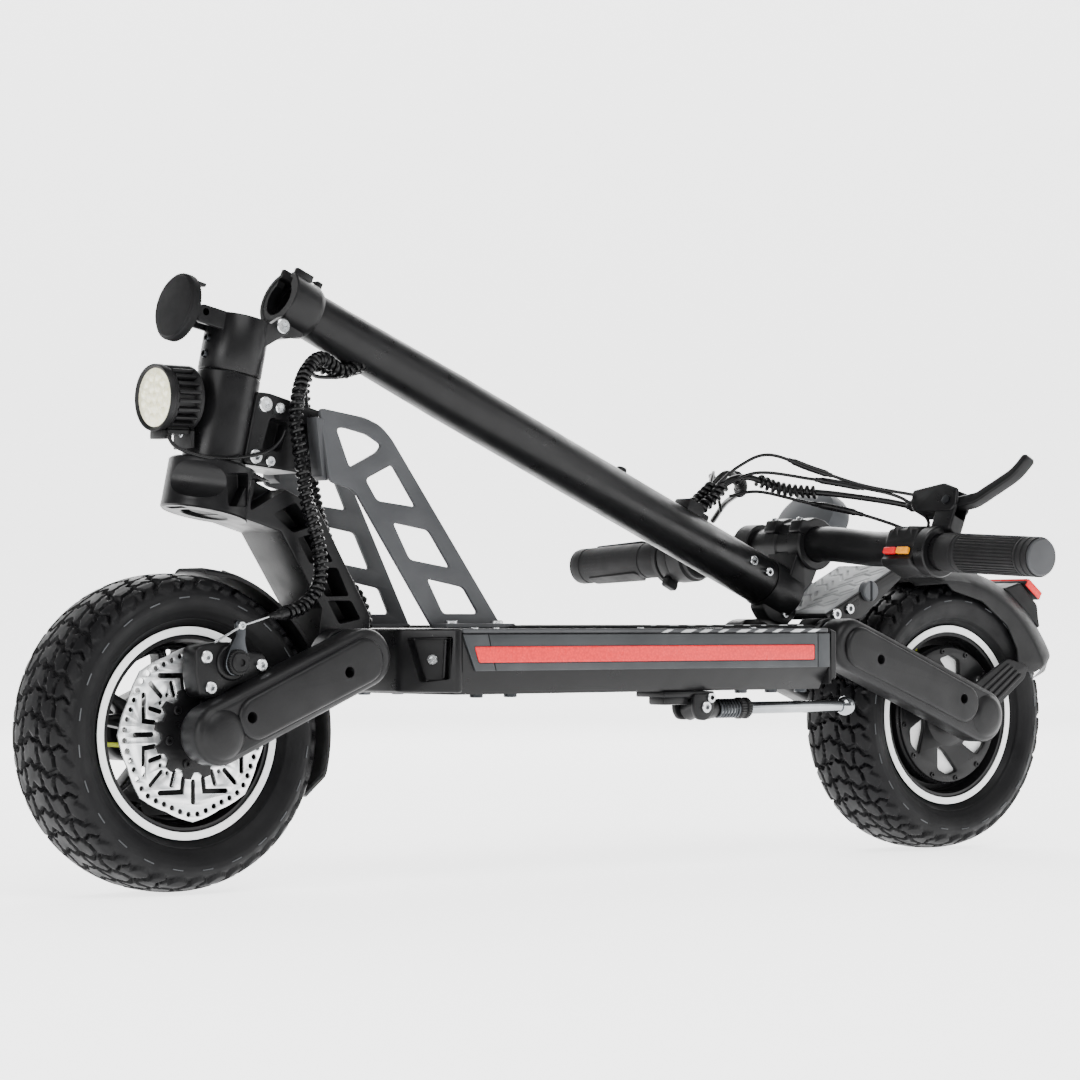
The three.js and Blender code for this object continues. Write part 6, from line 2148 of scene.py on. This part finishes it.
            section = rounded([(-wide, -tall), (wide, -tall), (wide, tall), (-wide, tall)], 2.4, 4)
            rings.append([spot + side * a + Vector((0, 0, b)) for a, b in section])
        blade = Shape().grid(rings)
        eye = Shape().lathe([(3.3, z - 9), (3.3, z + 9)], Axis.Z, sides=24, centre=(px, py))
        blade.cut(eye)
        blade.finish("brake_lever_blade", PLACES.stem, "lever", FINISH.coat, ["brake_lever"], sharp=45)

    def throttle(self) -> None:
        """Builds the stepped housing beside the right grip and the thumb paddle."""
        place = Bar.straight(Side.RIGHT)
        shape = Shape()
        bore = Bar.radius + 0.7
        shape.lathe([(bore, 140.4), (21, 140.4), (22.4, 141.6), (22.4, 146), (24.6, 148), (24.8, 164.4),
            (24, 165.2), (19.8, 165.2), (19.8, 178.8), (24, 178.8), (24.8, 179.6), (24.8, 184),
            (23.4, 185.4), (20, 186.8), (bore, 186.8)], Axis.Y, sides=72, loop=True)
        for k in range(10):
            groove = Shape().block((-1, 150, 24.2), (1, 163, 25.2), 0.3, 1)
            shape.absorb(groove, Matrix.Rotation(math.radians(200 + 14 * k), 4, "Y"))
        shape.finish("throttle_body", place, "stem", FINISH.plastic, ["throttle_housing"], sharp=30)
        paddle = Shape().lathe([(20.8, 166.2), (23.6, 166.2), (24, 167), (24, 177), (23.6, 177.8),
            (20.8, 177.8)], Axis.Y, sides=64, loop=True)
        paddle.plate(rounded([(20.5, -7), (27, -9), (32.6, -8.4), (33, 5.6), (28, 6.8), (20.5, 5)], 2),
            (168.2, 175.8), bevel=1.2)
        for k in range(4):
            paddle.block((25.4 + 1.8 * k, 168.9, -9.3), (26.2 + 1.8 * k, 175.1, -8.2), 0.25, 1)
        paddle.finish("throttle_paddle", place, "throttle", FINISH.plastic, ["throttle_lever"], sharp=35)

    def display(self) -> None:
        """Builds the display's shell, its screen, its neck and the ring on the bar."""
        x, z = Bar.bar_x, Bar.height
        tilt = math.radians(8)
        head = PLACES.stem @ Matrix.Translation((x - 50, 66, z + 62)) @ Matrix.Rotation(tilt, 4, "Y")
        shell = Shape()
        oval = [(35.0 * math.cos(a), 41.4 * math.sin(a)) for a in turns(72)]
        rings = []
        for share, run in ((0.3, -11), (0.8, -10.6), (0.9, -9.4), (0.94, -6), (0.99, 2), (1.0, 7),
                    (0.985, 10),
                           (0.95, 11), (0.9, 11), (0.88, 9.6)):
            rings.append([Vector((a * share, b * share, run)) for a, b in oval])
        shell.grid(rings)
        shell.finish("display_shell", head, "stem", FINISH.nylon, ["display"], sharp=40)
        glass = Shape().grid([[Vector((a * s, b * s, run)) for a, b in oval] for s,
            run in ((0.87, 9.5), (0.87, 10.4), (0.84, 10.8), (0.2, 10.9))])
        glass.finish("display_window", head, "stem", FINISH.gloss)
        neck = Shape()
        for y in (53.4, 66.6):
            neck.plate(rounded([(x - 6, z + 12), (x - 18, z + 16), (x - 42, z + 46), (x - 34, z + 56),
                (x - 18, z + 40), (x + 4, z + 18)], 4), (y, y + 4), bevel=1)
        neck.plate(rounded([(x - 30, z + 36), (x - 40, z + 48), (x - 34, z + 56), (x - 22, z + 44)], 2),
            (54, 70), bevel=1)
        neck.lathe([(Bar.radius + 0.9, 52), (21, 52), (22, 53), (22, 71), (21, 72),
            (Bar.radius + 0.9, 72)], Axis.Y, sides=56, loop=True, centre=(Bar.point(62).x, Bar.point(62).z))
        neck.block((x - 4, 55, z + 19), (x + 8, 69, z + 29), 1.5)
        neck.finish("display_bracket", PLACES.stem, "stem", FINISH.plastic)
        bolt = Shape()
        screw(bolt, (x - 36, 70.4, z + 49), 3.4, 2, sign=1)
        screw(bolt, (x - 36, 53.6, z + 49), 3.4, 2, sign=-1)
        bolt.finish("display_bracket_screws", PLACES.stem, "stem", FINISH.zinc)


@dataclass
class Cables:
    """The brake cable, the harness, their spiral wraps and the leads to the controls.

    Args:
        radius: of both cables.
        wrap: radius of the strand wound around them.
        pitch: spacing of the wrap's turns.
    """

    radius: float = 3.4
    bare: float = 2.8
    wrap: float = 1.9
    pitch: float = 5.8

    def build(self) -> None:
        """Builds every cable in the stretches that move together."""
        brake_top = [(293, -131, 316), (281, -104, 323), (252, -60, 331), (222, -24, 336), (195, -10, 346),
            (172, -6, 343), (152, -6, 326)]
        harness_top = [(279, 134, 312), (262, 98, 327), (238, 52, 336), (208, 20, 345), (180, 8, 350),
            (156, 6, 333)]
        brake_loop = [self.stem(-24, -6, 114), self.stem(-10, -6, 92), self.stem(2, -6, 79),
            (-285, -10, 432), (-308, -22, 420), (-322, -31, 402), (-327, -34, 380), (-326.6, -36, 366)]
        brake_drop = [(-326.6, -36, 366), (-325, -38, 350), (-322, -42, 314), (-314, -48, 275),
            (-318, -54, 246), (-338, -60, 228), (-358, -64, 222)]
        harness_loop = [self.stem(-24, 6, 114), self.stem(-10, 6, 92), self.stem(2, 6, 79), (-278, 8, 428),
            (-289, 9, 412), (-289, 9, 398), (-289, 9, 388)]
        harness_drop = [(-289, 9, 388), (-284, 9, 350), (-276, 9, 310), (-262, 10, 276), (-246, 10, 250),
            (-230, 10, 232), (-224, 10, 210.3)]
        self.stretch("brake_cable_bar", [*brake_top, self.stem(-40, -6, 474)], "stem",
            replaces=["brake_cable"])
        self.stretch("harness_bar", [*harness_top, self.stem(-40, 6, 474)], "stem", replaces=["main_harness"])
        self.crossing("brake_cable_loop", brake_loop, "stem", "steerer")
        self.crossing("harness_loop", harness_loop, "stem", "steerer")
        self.crossing("brake_cable_drop", brake_drop, "steerer", "front_arm")
        self.crossing("harness_drop", harness_drop, "steerer", "frame")
        self.caliper_end()
        self.plain_loop()
        self.leads()

    @staticmethod
    def stem(x: float, y: float, z: float) -> Point3:
        """A point of the stem's place as a point of the scooter."""
        return tuple(PLACES.world.inverted() @ PLACES.stem @ Vector((x, y, z)))

    def spiral(self, route: Sequence[Vector], first: float = 0.0, last: float = 1.0) -> Shape:
        """A strand wound around a route, over a share of its length."""
        length = sum((b - a).length for a, b in zip(route, route[1:]))
        steps = max(24, round(length * (last - first) / self.pitch) * 12)
        spots = []
        for i in range(steps + 1):
            share = first + (last - first) * i / steps
            at, way = self._along(route, share)
            side = way.cross(Vector((0, 1, 0.3))).normalized()
            other = way.cross(side)
            a = 2 * math.pi * i / 12
            spots.append(at + (side * math.cos(a) + other * math.sin(a)) * (self.radius + self.wrap * 0.55))
        return Shape().tube(spots, self.wrap, 8)

    @staticmethod
    def _along(route: Sequence[Vector], share: float) -> tuple[Vector, Vector]:
        """The point and heading at a share of the way along a route of even steps."""
        spot = share * (len(route) - 1)
        i = min(len(route) - 2, int(spot))
        here = route[i].lerp(route[i + 1], spot - i)
        behind, ahead = route[max(0, i - 1)], route[min(len(route) - 1, i + 2)]
        return here, (ahead - behind).normalized()

    def even(self, points: Sequence[Point3], step: float = 3.0) -> list[Vector]:
        """A smooth route through points in even steps."""
        rough = smooth_route(points, 2)
        lengths = [0.0]
        for a, b in zip(rough, rough[1:]):
            lengths.append(lengths[-1] + (b - a).length)
        count = max(8, round(lengths[-1] / step))
        result = []
        k = 0
        for i in range(count + 1):
            goal = lengths[-1] * i / count
            while k < len(rough) - 2 and lengths[k + 1] < goal:
                k += 1
            gap = lengths[k + 1] - lengths[k]
            result.append(rough[k].lerp(rough[k + 1], (goal - lengths[k]) / gap if gap else 0))
        return result

    def stretch(self, name: str, points: Sequence[Point3], body: str, replaces: Sequence[str] = ()) -> None:
        """A cable that moves with one body, with its wraps."""
        route = self.even(points)
        shape = Shape().tube(route, self.bare, 16)
        cord = shape.finish(name, PLACES.world, body, FINISH.sleeve, replaces)
        wraps = self.spiral(route, 0.40, 0.62)
        wraps.absorb(self.spiral(route, 0.78, 0.93))
        wrap = wraps.finish(f"{name}_wrap", PLACES.world, body, FINISH.sleeve)

    def crossing(
        self, name: str, points: Sequence[Point3], first: str, last: str
    ) -> None:
        """A wrapped cable between two bodies, riding on neither."""
        route = self.even(points)
        drawn = ((name, Shape().tube(route, self.radius, 14)), (f"{name}_wrap", self.spiral(route)))
        for piece, shape in drawn:
            made = self._free(piece, shape)
            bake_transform(made)
            log.info("%s bends between %s and %s", piece, first, last)

    @staticmethod
    def _free(name: str, shape: Shape) -> bpy.types.Object:
        """Makes a piece that rides on no body."""
        piece = shape.finish(name, PLACES.world, "frame", FINISH.sleeve)
        piece.parent = None
        piece.matrix_world = Matrix.Identity(4)
        del piece["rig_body"]
        return piece

    def caliper_end(self) -> None:
        """Builds the ferrule and inner wire from the cable to the caliper's arm."""
        pivot = joint_point("caliper_arm_turn", PLACES.world)
        clamp = Vector((pivot.x + 4, -70.8, pivot.z + 29))
        shape = Shape()
        route = self.even([(-358, -64, 222), (-366, -66, 220.6), (-376, -67, 219.4)], 1.5)
        shape.tube(route, lambda t: 4.6 if t < 0.45 else (3.4 if t < 0.8 else 2.2), 20)
        shape.finish("brake_cable_ferrule", PLACES.world, "front_arm", FINISH.coat)
        wire = Shape().tube([Vector((-374, -67, 219.6)), clamp,
            Vector((clamp.x - 26, -70.8, clamp.z - 13))], 0.9, 10)
        wire.finish("brake_inner_wire", PLACES.world, "front_arm", FINISH.zinc)

    def plain_loop(self) -> None:
        """Builds the thin plain lead beside the wrapped ones at the hinge."""
        points = [self.stem(-8, 0, 100), self.stem(4, 0, 84), (-282, -4, 417), (-298, -12, 418),
            (-306, -18, 408), (-308, -22, 392), (-306, -24, 376)]
        route = self.even(points, 2)
        made = self._free("sensor_lead_loop", Shape().tube(route, 1.7, 12))
        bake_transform(made)

    def leads(self) -> None:
        """Builds the leads between the stem and the controls with their inline connectors."""
        runs = {"lever_switch_lead": ([(160, -2, 338), (176, -16, 356), (196, -34, 366), (222, -66, 352),
            (250, -98, 338), (276, -128, 330), (286, -150, 326)], 0.36, 0.56),
            "switch_pod_lead": ([(168, 2, 336), (192, -22, 350), (226, -58, 344), (254, -92, 336),
            (274, -124, 326), (281, -150, 306), (275, -150, 290)], 0.4, 0.6),
            "horn_lead": ([(196, 20, 330), (214, 0, 334), (234, -40, 324), (252, -84, 314),
            (266, -122, 302), (270, -148, 292)], 0.42, 0.68),
            "throttle_lead": ([(160, 6, 338), (182, 26, 352), (208, 56, 346), (236, 96, 328),
            (258, 132, 306), (266, 150, 294)], 0.4, 0.6),
            "display_lead": ([(158, 4, 336), (178, 24, 348), (206, 48, 338), (222, 60, 318)], 0.3, 0.55)}
        for name, (points, first, last) in runs.items():
            route = self.even(points, 3)
            lead = Shape().tube(route, 1.5, 14).finish(name, PLACES.world, "stem", FINISH.sleeve,
                slot="matte_black_plastic")
            part = route[int(first * len(route)):int(last * len(route)) + 1]
            sleeve = Shape().tube(part, lambda t: 2.2 if t < 0.12 or t > 0.88 else 3.1, 14)
            joint = sleeve.finish(f"{name}_connector", PLACES.world, "stem", FINISH.sleeve,
                slot="matte_black_plastic")


class Internals:
    """Parts inside the scooter that keep their CAD shape."""

    def build(self) -> None:
        """Dresses the carried-over nodes."""
        dress_node("battery_pack", FINISH.battery)
        dress_node("controller", FINISH.dark_steel)
        for name in ("headset_bearing_lower", "headset_bearing_upper", "front_pivot_shaft",
                    "rear_pivot_shaft",
                     "front_axle", "motor_axle"):
            dress_node(name, FINISH.zinc)


@dataclass
class Studio:
    """The floor, the lights and the camera.

    Args:
        lens: focal length for a 36 mm sensor.
        eye: where the camera stands.
        heading: its turn from +Y towards +X, in degrees.
        lift: how far it looks up, in degrees.
    """

    lens: float = 115.9
    eye: Point3 = (-1.96717, -2.3386, 0.2133)
    heading: float = 39.22
    lift: float = 1.38
    roll: float = -0.05

    def build(self) -> None:
        """Builds the whole set."""
        self.camera()
        self.floor()
        self.lights()

    def camera(self) -> None:
        """Places the camera."""
        data = bpy.data.cameras.new("camera")
        data.lens, data.sensor_width = self.lens, 36
        data.clip_start, data.clip_end = 0.05, 60
        camera = bpy.data.objects.new("camera", data)
        turn, lift = math.radians(self.heading), math.radians(self.lift)
        way = Vector((math.sin(turn) * math.cos(lift), math.cos(turn) * math.cos(lift), math.sin(lift)))
        camera.rotation_mode = "QUATERNION"
        camera.rotation_quaternion = way.to_track_quat("-Z", "Y") @ Quaternion((0, 0, 1),
            math.radians(self.roll))
        camera.location = self.eye
        bpy.context.scene.collection.objects.link(camera)
        bpy.context.scene.camera = camera

    def floor(self) -> None:
        """Lays a plain pale floor that curves up into a backdrop."""
        mesh = bmesh.new()
        reach = 14.0
        profile = [(-reach, 0.0)] + [(reach * 0.45 + 3 * math.sin(a), 3 - 3 * math.cos(a))
            for a in (math.pi / 2 * k / 16 for k in range(17))] + [(reach * 0.45 + 3, 9.0)]
        turn = Matrix.Rotation(-math.radians(self.heading), 4, "Z")
        rows = []
        for along, up in profile:
            rows.append([mesh.verts.new(turn @ Vector((side * reach, along, up - 0.0005)))
                for side in (-1, 1)])
        for low, high in zip(rows, rows[1:]):
            mesh.faces.new((low[0], low[1], high[1], high[0]))
        data = bpy.data.meshes.new("floor")
        mesh.to_mesh(data)
        mesh.free()
        data.shade_smooth()
        data.materials.append(FINISH.floor)
        floor = bpy.data.objects.new("floor", data)
        bpy.context.scene.collection.objects.link(floor)

    def lights(self) -> None:
        """Hangs large soft lights and sets the world's fill."""
        world = bpy.data.worlds.new("studio")
        world.use_nodes = True
        world.node_tree.nodes["Background"].inputs["Color"].default_value = linear("#ffffff")
        world.node_tree.nodes["Background"].inputs["Strength"].default_value = 0.35
        bpy.context.scene.world = world
        target = Vector((0, 0, 0.25))
        for name, spot, size, power in (
            ("key", (-0.6, -2.2, 3.0), 2.4, 95.0),
            ("left_strip", (-3.4, -0.8, 1.2), 1.6, 60.0),
            ("rear", (1.8, 2.6, 2.4), 2.6, 70.0),
            ("right_fill", (2.6, -2.4, 0.9), 1.8, 26.0),
        ):
            data = bpy.data.lights.new(name, "AREA")
            data.shape, data.size, data.energy = "SQUARE", size, power
            light = bpy.data.objects.new(name, data)
            light.location = spot
            light.rotation_mode = "QUATERNION"
            light.rotation_quaternion = (target - Vector(spot)).to_track_quat("-Z", "Y")
            bpy.context.scene.collection.objects.link(light)


def main() -> None:
    """Builds every sub-assembly in order."""
    logging.basicConfig(level=logging.INFO, format="%(name)s %(message)s")
    Studio().build()
    Cables().build()
    FrontWheel().build()
    MotorWheel().build()
    SwingArms("front", "front_suspension", "front_wheel_spin", "front_arm").build()
    SwingArms("rear", "rear_suspension", "rear_wheel_spin", "rear_arm").build()
    Caliper().build()
    Fork().build()
    HeadTube().build()
    Headlight().build()
    Column().build()
    Gussets().build()
    Deck().build()
    FootRest().build()
    Kickstand().build()
    Fenders().build()
    Stem().build()
    Handlebar().build()
    Internals().build()


if __name__ == "__main__":
    main()
